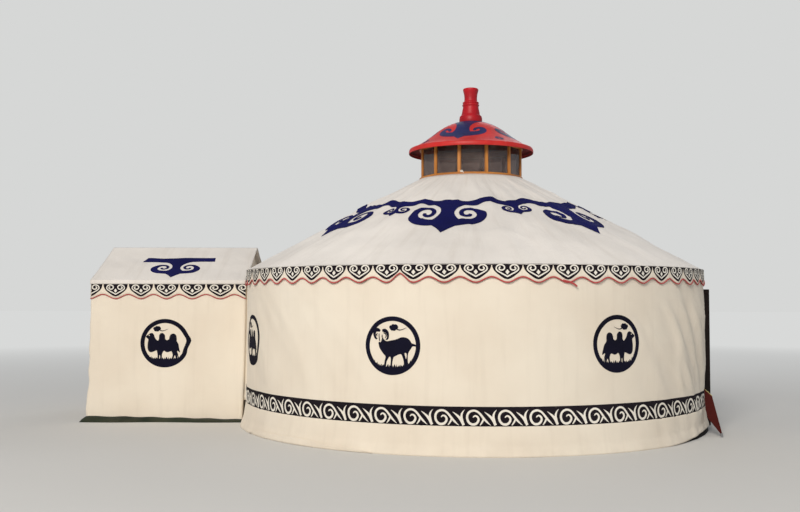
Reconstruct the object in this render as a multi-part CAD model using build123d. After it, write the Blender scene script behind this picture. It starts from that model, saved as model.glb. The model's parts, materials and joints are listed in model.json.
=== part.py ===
from build123d import *
import math
import os

# A six metre canvas yurt with a ridged side tent, in millimetres.
# The origin is on the axis of the round wall, at ground level. +Z is up, the side tent stands
# towards -X, the main doorway opens towards +X and the long bare side of the wall faces -Y.

FULL_TURN = 360.0

# Round wall: canvas over felt, inside it a crossed lattice of laths
WALL_RADIUS = 3000.0
WALL_THICKNESS = 30.0
EAVE_HEIGHT = 1982.0
LATTICE_THICKNESS = 24.0
LATTICE_ROWS = 3
LATH_WIDTH = 36.0
LATTICE_FOOT = 15.0
PANEL_COUNT = 3

# Loose skirt at the foot of the wall
SKIRT_HEIGHT = 280.0
SKIRT_CREASE_HEIGHT = 120.0
SKIRT_CREASE_SPREAD = 22.0
SKIRT_SPREAD = 65.0
SKIRT_THICKNESS = 10.0
CLOTH_SIDES = 72
CLOTH_CLEARANCE = 0.3

# Hanging band under the eave
VALANCE_DEPTH = 187.0
VALANCE_THICKNESS = 6.0

# Roof: canvas and felt drawn tight over straight poles, so it has one flat side from pole to pole
POLE_COUNT = 36
ROOF_GORES = 6
ROOF_THICKNESS = 16.0
ROOF_OVERHANG = 16.0
ROOF_TOP_RADIUS = 700.0
ROOF_TOP_HEIGHT = 3228.0
POLES_PER_NODE = 12
POLE_WIDTH = 32.0
POLE_DEPTH = 44.0
POLE_TENON = 45.0
POLE_SHOULDER = 18.0

# Glazed lantern on the ring that the roof poles meet
LANTERN_SIDES = 48
RING_WIDTH = 85.0
RING_DEPTH = 120.0
SILL_HEIGHT = 40.0
POSTS = 12
POST_TURN = 13.0
POST_SIZE = 36.0
POST_HEIGHT = 375.0
POST_SETBACK = 6.0
PANE_THICKNESS = 6.0
HEAD_WIDTH = 60.0

# Cap of the lantern: a dome that turns into a flared brim, and its turned finial
CAP_THICKNESS = 10.0
DOME_RADIUS = 700.0
DOME_TOP_RISE = 434.0
DOME_SIDES = 4
FLARE_SIDES = 3
BRIM_RADIUS = 845.0
BRIM_DROP = 62.0
FLARE_RADIUS = 1430.0
INFLECTION_ANGLE = 44.0
BRIM_ANGLE = 29.0
LIP_ROLL = 0.7
FINIAL_BASE_RADIUS = 153.0
FINIAL_LEDGE = 6.0
FINIAL_HEIGHT = 444.0
FINIAL_SIDES = 24
# Turned outline of the finial, as shares of its foot's radius and of its height
FINIAL_OUTLINE = (
    (1.00, 0.00),
    (0.97, 0.11),
    (0.86, 0.21),
    (0.78, 0.25),
    (0.69, 0.43),
    (0.75, 0.45),
    (0.75, 0.56),
    (0.60, 0.60),
    (0.57, 0.71),
    (0.69, 0.95),
    (0.60, 1.00),
)

# Main doorway and its timber frame
DOOR_WIDTH = 850.0
DOOR_HEIGHT = 1700.0
FRAME_WIDTH = 60.0
FRAME_PROJECTION = 70.0
FRAME_INSIDE = 20.0
THRESHOLD_HEIGHT = 45.0
LEAF_THICKNESS = 40.0
LEAF_CLEARANCE = 4.0
HINGE_HEIGHT = 110.0
HINGE_THICKNESS = 4.0
HINGE_WIDTH = 80.0
HINGE_PLACES = (0.15, 0.50, 0.85)

# Side tent
TENT_LENGTH = 1990.0
TENT_GAP = 90.0
TENT_FRONT_Y = -200.0
TENT_DEPTH = 2040.0
TENT_EAVE_HEIGHT = 1865.0
TENT_RISE = 487.0
TENT_CLOTH = 12.0
TENT_ROOF_OVERHANG = 15.0
TENT_ROOF_REACH = 70.0
TENT_POST = 40.0
TENT_VALANCE_DEPTH = 220.0
TENT_VALANCE_THICKNESS = 5.0
PASSAGE_WIDTH = 850.0
PASSAGE_HEIGHT = 1700.0
HEM_LEFT_HEIGHT = 65.0
HEM_RIGHT_HEIGHT = 15.0
HEM_THICKNESS = 6.0
HEM_REACH = 90.0
FLAP_SETBACK = 40.0

# Anchor straps beside the doorway
STRAP_TOP_HEIGHT = 520.0
STRAP_TOP_ANGLE = 20.0
STRAP_CORNER_REACH = 85.0
STRAP_CORNER_DROP = 80.0
STRAP_FOOT_ANGLE = 28.5
STRAP_FOOT_REACH = 270.0
STRAP_FOOT_HEIGHT = 28.0
STRAP_FOOT_WIDTH = 24.0
STRAP_BELLY_PLACE = 560.0
STRAP_BELLY_WIDTH = 160.0
STRAP_THICKNESS = 6.0
PEG_RADIUS = 14.0
PEG_SIDES = 12
PEG_HEIGHT = 46.0

# Sizes that follow from the ones above
WALL_INNER = WALL_RADIUS - WALL_THICKNESS
LATTICE_INNER = WALL_INNER - LATTICE_THICKNESS
ROOF_RUN = WALL_RADIUS - ROOF_TOP_RADIUS
ROOF_SLOPE = math.atan2(ROOF_TOP_HEIGHT - EAVE_HEIGHT, ROOF_RUN)
ROOF_DROP = ROOF_THICKNESS / math.cos(ROOF_SLOPE)
POLE_STEP = FULL_TURN / POLE_COUNT
HALF_STEP = math.radians(POLE_STEP / 2)
POLE_CLEARANCE = POLE_WIDTH / 2 * math.tan(HALF_STEP) * math.tan(ROOF_SLOPE)
ROOF_EDGE = WALL_RADIUS + ROOF_OVERHANG
RING_TOP = ROOF_TOP_HEIGHT
SILL_TOP = RING_TOP + SILL_HEIGHT
POST_TOP = SILL_TOP + POST_HEIGHT
POST_CENTRE = ROOF_TOP_RADIUS - POST_SETBACK - POST_SIZE / 2
DOME_CENTRE = POST_TOP + DOME_TOP_RISE - DOME_RADIUS
FINIAL_SEAT_RADIUS = FINIAL_BASE_RADIUS + FINIAL_LEDGE
FINIAL_BASE = DOME_CENTRE + math.sqrt(DOME_RADIUS**2 - FINIAL_SEAT_RADIUS**2)
OPENING_HALF = DOOR_WIDTH / 2 + FRAME_WIDTH
FRAME_TOP = DOOR_HEIGHT + FRAME_WIDTH
FRAME_OUTER_X = WALL_RADIUS + FRAME_PROJECTION
FRAME_INNER_X = LATTICE_INNER - FRAME_INSIDE
TENT_INNER_X = -WALL_RADIUS - TENT_GAP
TENT_OUTER_X = TENT_INNER_X - TENT_LENGTH
TENT_BACK_Y = TENT_FRONT_Y + TENT_DEPTH
TENT_RIDGE_Y = TENT_FRONT_Y + TENT_DEPTH / 2
TENT_SLOPE = math.atan2(TENT_RISE, TENT_DEPTH / 2)
TENT_ROOF_DROP = TENT_CLOTH / math.cos(TENT_SLOPE)
PASSAGE_FRONT_Y = TENT_RIDGE_Y - PASSAGE_WIDTH / 2
PASSAGE_BACK_Y = TENT_RIDGE_Y + PASSAGE_WIDTH / 2
INSIDE_X = -LATTICE_INNER / 2
BIG = 4 * WALL_RADIUS


def roof_underside(radius):
    """Height of the underside of the roof cover over a pole, at a distance from the axis."""
    return EAVE_HEIGHT + (WALL_RADIUS - radius) * math.tan(ROOF_SLOPE)


def pole_underside(radius):
    """Height of the underside of a roof pole at a distance from the axis."""
    return roof_underside(radius) - POLE_CLEARANCE - POLE_DEPTH / math.cos(ROOF_SLOPE)


def block(x0, x1, y0, y1, z0, z1):
    """Box between two corners."""
    size = Box(x1 - x0, y1 - y0, z1 - z0, align=(Align.MIN, Align.MIN, Align.MIN))
    return Pos(x0, y0, z0) * size


def turned(points, start=0.0, arc=FULL_TURN):
    """Solid of revolution about Z from a closed outline of (radius, height) points."""
    outline = Polyline(*[(r, 0, z) for r, z in points], close=True)
    return Rot(0, 0, start) * revolve(make_face(outline), Axis.Z, arc)


def on_polar(radius, angle, height=0.0):
    """Point at a distance and an angle from the axis."""
    turn = math.radians(angle)
    return Vector(radius * math.cos(turn), radius * math.sin(turn), height)


def flat_sided(points, sides):
    """Solid with flat sides through (radius, height) corners, from the lowest up."""
    half_step = math.pi / sides
    steps = []
    for (low_radius, low), (high_radius, high) in zip(points, points[1:]):
        lean = math.atan2((low_radius - high_radius) * math.cos(half_step), high - low)
        shape = RegularPolygon(low_radius, sides, rotation=math.degrees(half_step))
        steps.append(Pos(0, 0, low) * extrude(shape, high - low, taper=math.degrees(lean)))
    return Part() + steps


def many_sided(radius):
    """Flat shape with one corner over each pole."""
    return RegularPolygon(radius, POLE_COUNT, rotation=POLE_STEP / 2)


def roof_cone(low_radius, base):
    """Many-sided cone with its corners on the poles, from a level up to the top ring."""
    rise = (low_radius - ROOF_TOP_RADIUS) * math.tan(ROOF_SLOPE)
    return flat_sided([(low_radius, base), (ROOF_TOP_RADIUS, base + rise)], POLE_COUNT)


def under_roof():
    """Everything below the underside of the roof cover."""
    low = roof_underside(ROOF_EDGE)
    return extrude(many_sided(ROOF_EDGE), low) + roof_cone(ROOF_EDGE, low)


def slice_of(start, arc):
    """Wedge of space about the axis."""
    return turned([(0, 0), (BIG, 0), (BIG, BIG), (0, BIG)], start, arc)


def doorway_cut(height):
    """Block that clears the doorway and its frame out of the round wall."""
    return block(0, BIG, -OPENING_HALF, OPENING_HALF, 0, height)


def passage_cut(height, margin=0.0):
    """Block that clears the passage to the side tent out of the round wall."""
    return block(-BIG, 0, PASSAGE_FRONT_Y - margin, PASSAGE_BACK_Y + margin, 0, height)


def passage_angle(y):
    """Angle at which a line along X at this y leaves the round wall on the tent's side."""
    return 180.0 - math.degrees(math.asin(y / WALL_RADIUS))


def wall_ring(start, arc):
    """Stretch of the felt and canvas wall, its top cut to the roof."""
    high = EAVE_HEIGHT + ROOF_THICKNESS + WALL_THICKNESS
    outline = [(WALL_INNER, 0), (WALL_RADIUS, 0), (WALL_RADIUS, high), (WALL_INNER, high)]
    return turned(outline, start, arc) & under_roof()


def wall_panels():
    """Panels of the round wall between the doorway and the passage, on both sides."""
    panels = {}
    passage = passage_angle(TENT_RIDGE_Y)
    for name, last in (("wall_panel_front", passage - FULL_TURN), ("wall_panel_back", passage)):
        step = last / PANEL_COUNT
        for index in range(PANEL_COUNT):
            low = min(index * step, (index + 1) * step)
            panel = wall_ring(low, abs(step)) - doorway_cut(BIG) - passage_cut(BIG)
            panels[f"{name}_{index + 1}"] = panel
    return panels


def wall_over_door():
    """Strip of wall between the door head and the roof."""
    strip = block(0, BIG, -OPENING_HALF, OPENING_HALF, FRAME_TOP, BIG)
    return wall_ring(-90.0, 180.0) & strip


def wall_over_passage():
    """Strip of wall between the passage and the roof."""
    strip = block(-BIG, 0, PASSAGE_FRONT_Y, PASSAGE_BACK_Y, PASSAGE_HEIGHT, BIG)
    return wall_ring(90.0, 180.0) & strip


def cloth_round_wall(outline, thickness):
    """Cloth in flat widths close round the wall, from (distance off it, height) points."""
    stretch = 1 / math.cos(math.pi / CLOTH_SIDES)
    inner = [((WALL_RADIUS + CLOTH_CLEARANCE + off) * stretch, z) for off, z in outline]
    outer = [(r + thickness, z) for r, z in inner]
    return flat_sided(outer, CLOTH_SIDES) - flat_sided(inner, CLOTH_SIDES)


def skirt(start, arc):
    """Loose canvas at the foot of the wall, spreading from a crease."""
    outline = [(SKIRT_SPREAD, 0), (SKIRT_CREASE_SPREAD, SKIRT_CREASE_HEIGHT), (0, SKIRT_HEIGHT)]
    piece = cloth_round_wall(outline, SKIRT_THICKNESS) & slice_of(start, arc)
    return piece - doorway_cut(BIG) - passage_cut(BIG, TENT_CLOTH)


def valance():
    """Band that hangs from the eave all round."""
    outline = [(0, EAVE_HEIGHT - VALANCE_DEPTH), (0, EAVE_HEIGHT)]
    return cloth_round_wall(outline, VALANCE_THICKNESS) & under_roof()


def roof_gores():
    """Gores of the roof cover, sewn along poles."""
    low = roof_underside(ROOF_EDGE)
    rim = extrude(many_sided(ROOF_EDGE), ROOF_DROP)
    cover = Pos(0, 0, low) * rim + roof_cone(ROOF_EDGE, low + ROOF_DROP)
    cover -= roof_cone(ROOF_EDGE, low)
    cover -= Cylinder(ROOF_TOP_RADIUS, BIG)
    arc = FULL_TURN / ROOF_GORES
    starts = [POLE_STEP / 2 + i * arc for i in range(ROOF_GORES)]
    return {f"roof_gore_{i + 1}": cover & slice_of(start, arc) for i, start in enumerate(starts)}


def roof_pole(angle):
    """One pole from the head of the lattice, with a level tenon in its socket in the ring."""
    outer = WALL_INNER - POLE_CLEARANCE
    inner = ROOF_TOP_RADIUS
    end = inner - POLE_TENON
    shoulder = RING_TOP - POLE_SHOULDER
    corners = [
        (outer, 0, roof_underside(outer) - POLE_CLEARANCE),
        (inner, 0, roof_underside(inner) - POLE_CLEARANCE),
        (inner, 0, shoulder),
        (end, 0, shoulder),
        (end, 0, pole_underside(inner)),
        (inner, 0, pole_underside(inner)),
        (outer, 0, pole_underside(outer)),
    ]
    side = make_face(Polyline(*corners, close=True))
    return Rot(0, 0, angle) * extrude(side, POLE_WIDTH / 2, both=True)


def all_poles():
    """Every roof pole, half a step off the axes."""
    return [roof_pole((i + 0.5) * POLE_STEP) for i in range(POLE_COUNT)]


def roof_poles():
    """Poles in groups that each share a node."""
    poles = all_poles()
    groups = {}
    for first in range(0, POLE_COUNT, POLES_PER_NODE):
        group = poles[first:first + POLES_PER_NODE]
        groups[f"roof_poles_{first // POLES_PER_NODE + 1}"] = Compound(children=group)
    return groups


def lattice(front):
    """Crossed laths inside one half of the wall, fused where they cross, flat from pole to pole."""
    top = pole_underside(WALL_INNER)
    tall = top - LATTICE_FOOT
    grid = extrude(many_sided(WALL_INNER) - many_sided(LATTICE_INNER), tall)
    side = block(-BIG, BIG, -BIG, 0, 0, BIG) if front else block(-BIG, BIG, 0, BIG, 0, BIG)
    grid = Pos(0, 0, LATTICE_FOOT) * grid & side
    cell_width = 2 * math.sin(HALF_STEP) * WALL_INNER
    cell_height = top / LATTICE_ROWS
    lean = math.atan2(cell_height, cell_width)
    half_width = cell_width / 2 - LATH_WIDTH / 2 / math.sin(lean)
    half_height = cell_height / 2 - LATH_WIDTH / 2 / math.cos(lean)
    diamond = Polyline((-half_width, 0), (0, -half_height), (half_width, 0), (0, half_height), close=True)
    hole = extrude(make_face(Plane.YZ * diamond), LATTICE_THICKNESS * 3, both=True)
    cuts = []
    for column in range(2 * POLE_COUNT):
        angle = column * POLE_STEP / 2
        if (0 < angle < 180) == front:
            continue
        shift = 0.5 if column % 2 == 1 else 0.0
        for row in range(LATTICE_ROWS + 1):
            height = (row + shift) * cell_height
            if height <= top:
                cuts.append(Rot(0, 0, angle) * Pos(WALL_INNER, 0, height) * hole)
    laths = grid - cuts
    laths -= doorway_cut(BIG)
    return laths - passage_cut(BIG)


def ring(outer, width, low, high):
    """Plain ring of the lantern, in flat lengths with a square section."""
    body = flat_sided([(outer, low), (outer, high)], LANTERN_SIDES)
    return body - flat_sided([(outer - width, low), (outer - width, high)], LANTERN_SIDES)


def crown_ring():
    """Timber ring with a socket for every roof pole."""
    return ring(ROOF_TOP_RADIUS, RING_WIDTH, RING_TOP - RING_DEPTH, RING_TOP) - all_poles()


def lantern_sill():
    """Painted sill ring on the timber ring, over the edge of the roof cloth."""
    return ring(ROOF_TOP_RADIUS, RING_WIDTH, RING_TOP, SILL_TOP)


def lantern_post(turns):
    """One post of the lantern, at a number of bays round from the first."""
    size = Box(POST_SIZE, POST_SIZE, POST_HEIGHT, align=(Align.CENTER, Align.CENTER, Align.MIN))
    return Rot(0, 0, POST_TURN + turns * FULL_TURN / POSTS) * Pos(POST_CENTRE, 0, SILL_TOP) * size


def lantern_posts():
    """Posts of the lantern, one at each corner of its glazing."""
    return Compound(children=[lantern_post(i) for i in range(POSTS)])


def lantern_panes():
    """Flat panes from post to post, their ends cut to the posts."""
    half_step = math.pi / POSTS
    width = 2 * POST_CENTRE * math.sin(half_step)
    reach = POST_CENTRE * math.cos(half_step)
    size = Box(PANE_THICKNESS, width, POST_HEIGHT, align=(Align.CENTER, Align.CENTER, Align.MIN))
    panes = []
    for i in range(POSTS):
        turn = Rot(0, 0, POST_TURN + (i + 0.5) * FULL_TURN / POSTS)
        pane = turn * Pos(reach, 0, SILL_TOP) * size
        panes.append(pane - lantern_post(i) - lantern_post(i + 1))
    return Compound(children=panes)


def arc_points(centre, radius, first, last, steps):
    """Points on an arc, by its angle from straight up, as (radius, height) pairs."""
    points = []
    for index in range(steps + 1):
        turn = math.radians(first + (last - first) * index / steps)
        points.append((centre[0] + radius * math.sin(turn), centre[1] + radius * math.cos(turn)))
    return points


def cap_points(inset):
    """Outline of the cap from its lip up to the finial's seat, moved in by the inset."""
    bend = math.radians(INFLECTION_ANGLE)
    reach = DOME_RADIUS + FLARE_RADIUS
    dome_centre = (0.0, DOME_CENTRE)
    flare_centre = (reach * math.sin(bend), DOME_CENTRE + reach * math.cos(bend))
    seat = math.degrees(math.asin(FINIAL_SEAT_RADIUS / DOME_RADIUS))
    dome = arc_points(dome_centre, DOME_RADIUS - inset, seat, INFLECTION_ANGLE, DOME_SIDES)
    flare_radius = -FLARE_RADIUS - inset
    flare = arc_points(flare_centre, flare_radius, INFLECTION_ANGLE, BRIM_ANGLE, FLARE_SIDES)
    end = flare[-1]
    lip = (BRIM_RADIUS - inset, end[1] - BRIM_DROP + inset)
    roll = (end[0] + (lip[0] - end[0]) * LIP_ROLL, end[1] - BRIM_DROP * (1 - LIP_ROLL))
    return [lip, roll] + flare[:0:-1] + dome[::-1]


def under_cap():
    """Everything below the inner face of the cap."""
    inner = cap_points(CAP_THICKNESS)
    return flat_sided([(inner[0][0], 0.0)] + inner, LANTERN_SIDES)


def lantern_cap():
    """Thin domed cap with a flared brim and a turned-down lip."""
    return flat_sided(cap_points(0.0), LANTERN_SIDES) - under_cap()


def lantern_head_ring():
    """Ring on the heads of the posts, its top cut to the inside of the cap."""
    tall = ring(ROOF_TOP_RADIUS, HEAD_WIDTH, POST_TOP, POST_TOP + DOME_TOP_RISE)
    return tall & under_cap()


def lantern_finial():
    """Finial with two rings, seated on the flat top of the dome."""
    points = [(r * FINIAL_BASE_RADIUS, FINIAL_BASE + h * FINIAL_HEIGHT) for r, h in FINIAL_OUTLINE]
    return flat_sided(points, FINIAL_SIDES)


def door_jambs():
    """Two upright posts of the door frame."""
    left = block(FRAME_INNER_X, FRAME_OUTER_X, -OPENING_HALF, -DOOR_WIDTH / 2, 0, DOOR_HEIGHT)
    right = block(FRAME_INNER_X, FRAME_OUTER_X, DOOR_WIDTH / 2, OPENING_HALF, 0, DOOR_HEIGHT)
    return Compound(children=[left, right])


def door_head():
    """Top rail of the door frame."""
    return block(FRAME_INNER_X, FRAME_OUTER_X, -OPENING_HALF, OPENING_HALF, DOOR_HEIGHT, FRAME_TOP)


def door_threshold():
    """Low timber threshold between the jambs."""
    half = DOOR_WIDTH / 2
    return block(FRAME_INNER_X, FRAME_OUTER_X, -half, half, 0, THRESHOLD_HEIGHT)


def door_leaf():
    """Timber leaf that stands open into the room, square to the doorway."""
    low = THRESHOLD_HEIGHT + LEAF_CLEARANCE
    high = DOOR_HEIGHT - LEAF_CLEARANCE
    edge = FRAME_INNER_X - LEAF_CLEARANCE
    width = DOOR_WIDTH - 2 * LEAF_CLEARANCE
    side = DOOR_WIDTH / 2
    return block(edge - width, edge, side, side + LEAF_THICKNESS, low, high)


def door_hinges():
    """Three flat hinges across the joint between the jamb and the open leaf."""
    middle = FRAME_INNER_X - LEAF_CLEARANCE / 2
    side = DOOR_WIDTH / 2
    plates = []
    for share in HINGE_PLACES:
        low = DOOR_HEIGHT * share - HINGE_HEIGHT / 2
        x0 = middle - HINGE_WIDTH / 2
        x1 = middle + HINGE_WIDTH / 2
        plates.append(block(x0, x1, side - HINGE_THICKNESS, side, low, low + HINGE_HEIGHT))
    return Compound(children=plates)


def tent_underside(y):
    """Height of the underside of the side tent's roof."""
    run = TENT_DEPTH / 2 - abs(y - TENT_RIDGE_Y)
    return TENT_EAVE_HEIGHT + run * math.tan(TENT_SLOPE)


def tent_gable(x0, x1):
    """End wall of the side tent, five-sided, between its long walls."""
    y0 = TENT_FRONT_Y + TENT_CLOTH
    y1 = TENT_BACK_Y - TENT_CLOTH
    outline = Polyline(
        (x0, y0, 0),
        (x0, y1, 0),
        (x0, y1, tent_underside(y1)),
        (x0, TENT_RIDGE_Y, tent_underside(TENT_RIDGE_Y)),
        (x0, y0, tent_underside(y0)),
        close=True,
    )
    return extrude(make_face(outline), x1 - x0, dir=(1, 0, 0))


def tent_long_wall(y0, y1):
    """Long wall of the side tent, its top cut to the roof slope."""
    outline = Polyline(
        (TENT_OUTER_X, y0, 0),
        (TENT_OUTER_X, y1, 0),
        (TENT_OUTER_X, y1, tent_underside(y1)),
        (TENT_OUTER_X, y0, tent_underside(y0)),
        close=True,
    )
    return extrude(make_face(outline), TENT_INNER_X - TENT_OUTER_X, dir=(1, 0, 0))


def tent_inner_wall():
    """End wall on the yurt's side: cloth beside the passage, and cloth over it."""
    wall = tent_gable(TENT_INNER_X - TENT_CLOTH, TENT_INNER_X)
    beside = wall - passage_cut(BIG)
    over = wall & block(-BIG, 0, PASSAGE_FRONT_Y, PASSAGE_BACK_Y, PASSAGE_HEIGHT, BIG)
    return beside, over


def tent_roof(front):
    """One slope of the side tent's roof, meeting the other at the ridge."""
    edge = TENT_FRONT_Y - TENT_ROOF_OVERHANG if front else TENT_BACK_Y + TENT_ROOF_OVERHANG
    x0 = TENT_OUTER_X - TENT_ROOF_OVERHANG
    outline = Polyline(
        (x0, edge, tent_underside(edge)),
        (x0, TENT_RIDGE_Y, tent_underside(TENT_RIDGE_Y)),
        (x0, TENT_RIDGE_Y, tent_underside(TENT_RIDGE_Y) + TENT_ROOF_DROP),
        (x0, edge, tent_underside(edge) + TENT_ROOF_DROP),
        close=True,
    )
    reach = TENT_INNER_X + TENT_ROOF_REACH - x0
    return extrude(make_face(outline), reach, dir=(1, 0, 0))


def tent_valance():
    """Hanging band on the two long walls and the outer end of the side tent."""
    low = TENT_EAVE_HEIGHT - TENT_VALANCE_DEPTH
    t = TENT_VALANCE_THICKNESS
    front = block(TENT_OUTER_X, TENT_INNER_X, TENT_FRONT_Y - t, TENT_FRONT_Y, low,
                  tent_underside(TENT_FRONT_Y - t))
    back = block(TENT_OUTER_X, TENT_INNER_X, TENT_BACK_Y, TENT_BACK_Y + t, low,
                 tent_underside(TENT_BACK_Y + t))
    end = block(TENT_OUTER_X - t, TENT_OUTER_X, TENT_FRONT_Y + t, TENT_BACK_Y - t, low,
                TENT_EAVE_HEIGHT)
    return Compound(children=[front, back, end])


def tent_posts():
    """Corner posts of the side tent's frame, inside its cloth."""
    x_places = (TENT_OUTER_X + TENT_CLOTH, TENT_INNER_X - TENT_CLOTH - TENT_POST)
    y_places = (TENT_FRONT_Y + TENT_CLOTH, TENT_BACK_Y - TENT_CLOTH - TENT_POST)
    top = TENT_EAVE_HEIGHT - TENT_POST
    posts = [block(x, x + TENT_POST, y, y + TENT_POST, 0, top) for x in x_places for y in y_places]
    return Compound(children=posts)


def tent_rails():
    """Eave rails and ridge pole of the side tent."""
    x0 = TENT_OUTER_X + TENT_CLOTH
    x1 = TENT_INNER_X - TENT_CLOTH
    low = TENT_EAVE_HEIGHT - TENT_POST
    front_y = TENT_FRONT_Y + TENT_CLOTH
    back_y = TENT_BACK_Y - TENT_CLOTH - TENT_POST
    front = block(x0, x1, front_y, front_y + TENT_POST, low, TENT_EAVE_HEIGHT)
    back = block(x0, x1, back_y, back_y + TENT_POST, low, TENT_EAVE_HEIGHT)
    half = TENT_POST / 2
    ridge_top = tent_underside(TENT_RIDGE_Y - half)
    ridge = block(x0, x1, TENT_RIDGE_Y - half, TENT_RIDGE_Y + half, ridge_top - TENT_POST, ridge_top)
    return Compound(children=[front, back, ridge])


def passage_sleeve():
    """Cloth sleeve from the side tent's inner wall to the round wall, open both ways."""
    outer = block(TENT_INNER_X, INSIDE_X, PASSAGE_FRONT_Y - TENT_CLOTH, PASSAGE_BACK_Y + TENT_CLOTH,
                  0, PASSAGE_HEIGHT + TENT_CLOTH)
    sleeve = outer - passage_cut(PASSAGE_HEIGHT)
    return sleeve - Cylinder(WALL_RADIUS, BIG)


def closing_flap():
    """Narrow flap between the side tent's front corner and the round wall."""
    y0 = TENT_FRONT_Y + FLAP_SETBACK
    high = EAVE_HEIGHT - VALANCE_DEPTH
    flap = block(TENT_INNER_X, INSIDE_X, y0, y0 + TENT_CLOTH, SKIRT_HEIGHT, high)
    return flap - Cylinder(WALL_RADIUS, BIG)


def ground_hem():
    """Edge of the ground cloth turned up at the side tent's front foot."""
    y = TENT_FRONT_Y
    outline = Polyline(
        (TENT_OUTER_X - HEM_REACH, y, 0),
        (TENT_INNER_X, y, 0),
        (TENT_INNER_X, y, HEM_RIGHT_HEIGHT),
        (TENT_OUTER_X, y, HEM_LEFT_HEIGHT),
        (TENT_OUTER_X - HEM_REACH, y, HEM_RIGHT_HEIGHT),
        close=True,
    )
    return extrude(make_face(outline), HEM_THICKNESS, dir=(0, -1, 0))


def strap_and_peg(side):
    """Anchor strap from the wall to a peg beside the doorway, widest below its middle."""
    sewn = STRAP_THICKNESS
    turn = side * STRAP_TOP_ANGLE
    top = on_polar(WALL_RADIUS - sewn, turn, STRAP_TOP_HEIGHT)
    corner = on_polar(WALL_RADIUS + STRAP_CORNER_REACH, turn, STRAP_TOP_HEIGHT - STRAP_CORNER_DROP)
    foot = on_polar(WALL_RADIUS + STRAP_FOOT_REACH, side * STRAP_FOOT_ANGLE, STRAP_FOOT_HEIGHT)
    run = (foot - top).normalized()
    across = run.cross(corner - top).normalized().cross(run)
    belly = top + run * STRAP_BELLY_PLACE - across * STRAP_BELLY_WIDTH
    end = foot - run * PEG_RADIUS
    half = across * (STRAP_FOOT_WIDTH / 2)
    outline = Polyline(top, corner, end + half, end - half, belly, close=True)
    strap = extrude(make_face(outline), STRAP_THICKNESS / 2, both=True)
    peg = Pos(foot.X, foot.Y, 0) * extrude(RegularPolygon(PEG_RADIUS, PEG_SIDES), PEG_HEIGHT)
    strap -= Cylinder(WALL_RADIUS + CLOTH_CLEARANCE, BIG)
    return strap - peg, peg


def build_nodes():
    """All pieces by node name."""
    nodes = {}
    nodes.update(wall_panels())
    nodes["wall_over_door"] = wall_over_door()
    nodes["wall_over_passage"] = wall_over_passage()
    passage = passage_angle(TENT_RIDGE_Y)
    nodes["skirt_front"] = skirt(passage, FULL_TURN - passage)
    nodes["skirt_back"] = skirt(0.0, passage)
    nodes["valance"] = valance()
    nodes.update(roof_gores())
    nodes.update(roof_poles())
    nodes["lattice_front"] = lattice(True)
    nodes["lattice_back"] = lattice(False)
    nodes["crown_ring"] = crown_ring()
    nodes["lantern_sill"] = lantern_sill()
    nodes["lantern_posts"] = lantern_posts()
    nodes["lantern_panes"] = lantern_panes()
    nodes["lantern_head_ring"] = lantern_head_ring()
    nodes["lantern_cap"] = lantern_cap()
    nodes["lantern_finial"] = lantern_finial()
    nodes["door_jambs"] = door_jambs()
    nodes["door_head"] = door_head()
    nodes["door_threshold"] = door_threshold()
    nodes["door_leaf"] = door_leaf()
    nodes["door_hinges"] = door_hinges()
    nodes["tent_front_wall"] = tent_long_wall(TENT_FRONT_Y, TENT_FRONT_Y + TENT_CLOTH)
    nodes["tent_back_wall"] = tent_long_wall(TENT_BACK_Y - TENT_CLOTH, TENT_BACK_Y)
    nodes["tent_outer_wall"] = tent_gable(TENT_OUTER_X, TENT_OUTER_X + TENT_CLOTH)
    beside, over = tent_inner_wall()
    nodes["tent_inner_wall"] = beside
    nodes["tent_wall_over_passage"] = over
    nodes["tent_roof_front"] = tent_roof(True)
    nodes["tent_roof_back"] = tent_roof(False)
    nodes["tent_valance"] = tent_valance()
    nodes["tent_posts"] = tent_posts()
    nodes["tent_rails"] = tent_rails()
    nodes["passage_sleeve"] = passage_sleeve()
    nodes["closing_flap"] = closing_flap()
    nodes["ground_hem"] = ground_hem()
    straps = [strap_and_peg(side) for side in (-1, 1)]
    nodes["anchor_straps"] = Compound(children=[strap for strap, peg in straps])
    nodes["ground_pegs"] = Compound(children=[peg for strap, peg in straps])
    return nodes


def main():
    """Write one STEP file per node."""
    os.makedirs("parts", exist_ok=True)
    for name, shape in build_nodes().items():
        export_step(shape, f"parts/{name}.step")
        print(name, len(shape.solids()), round(shape.volume / 1e6, 2))


main()
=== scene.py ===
"""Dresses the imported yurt: canvas, felt, applique, timber, glass, painted metal and light."""

import json
import logging
import math
from dataclasses import dataclass
from enum import Enum
from typing import Iterable, Protocol, Sequence

import bmesh
import bpy
from bmesh.types import BMesh
from mathutils import Matrix, Vector, noise

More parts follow.
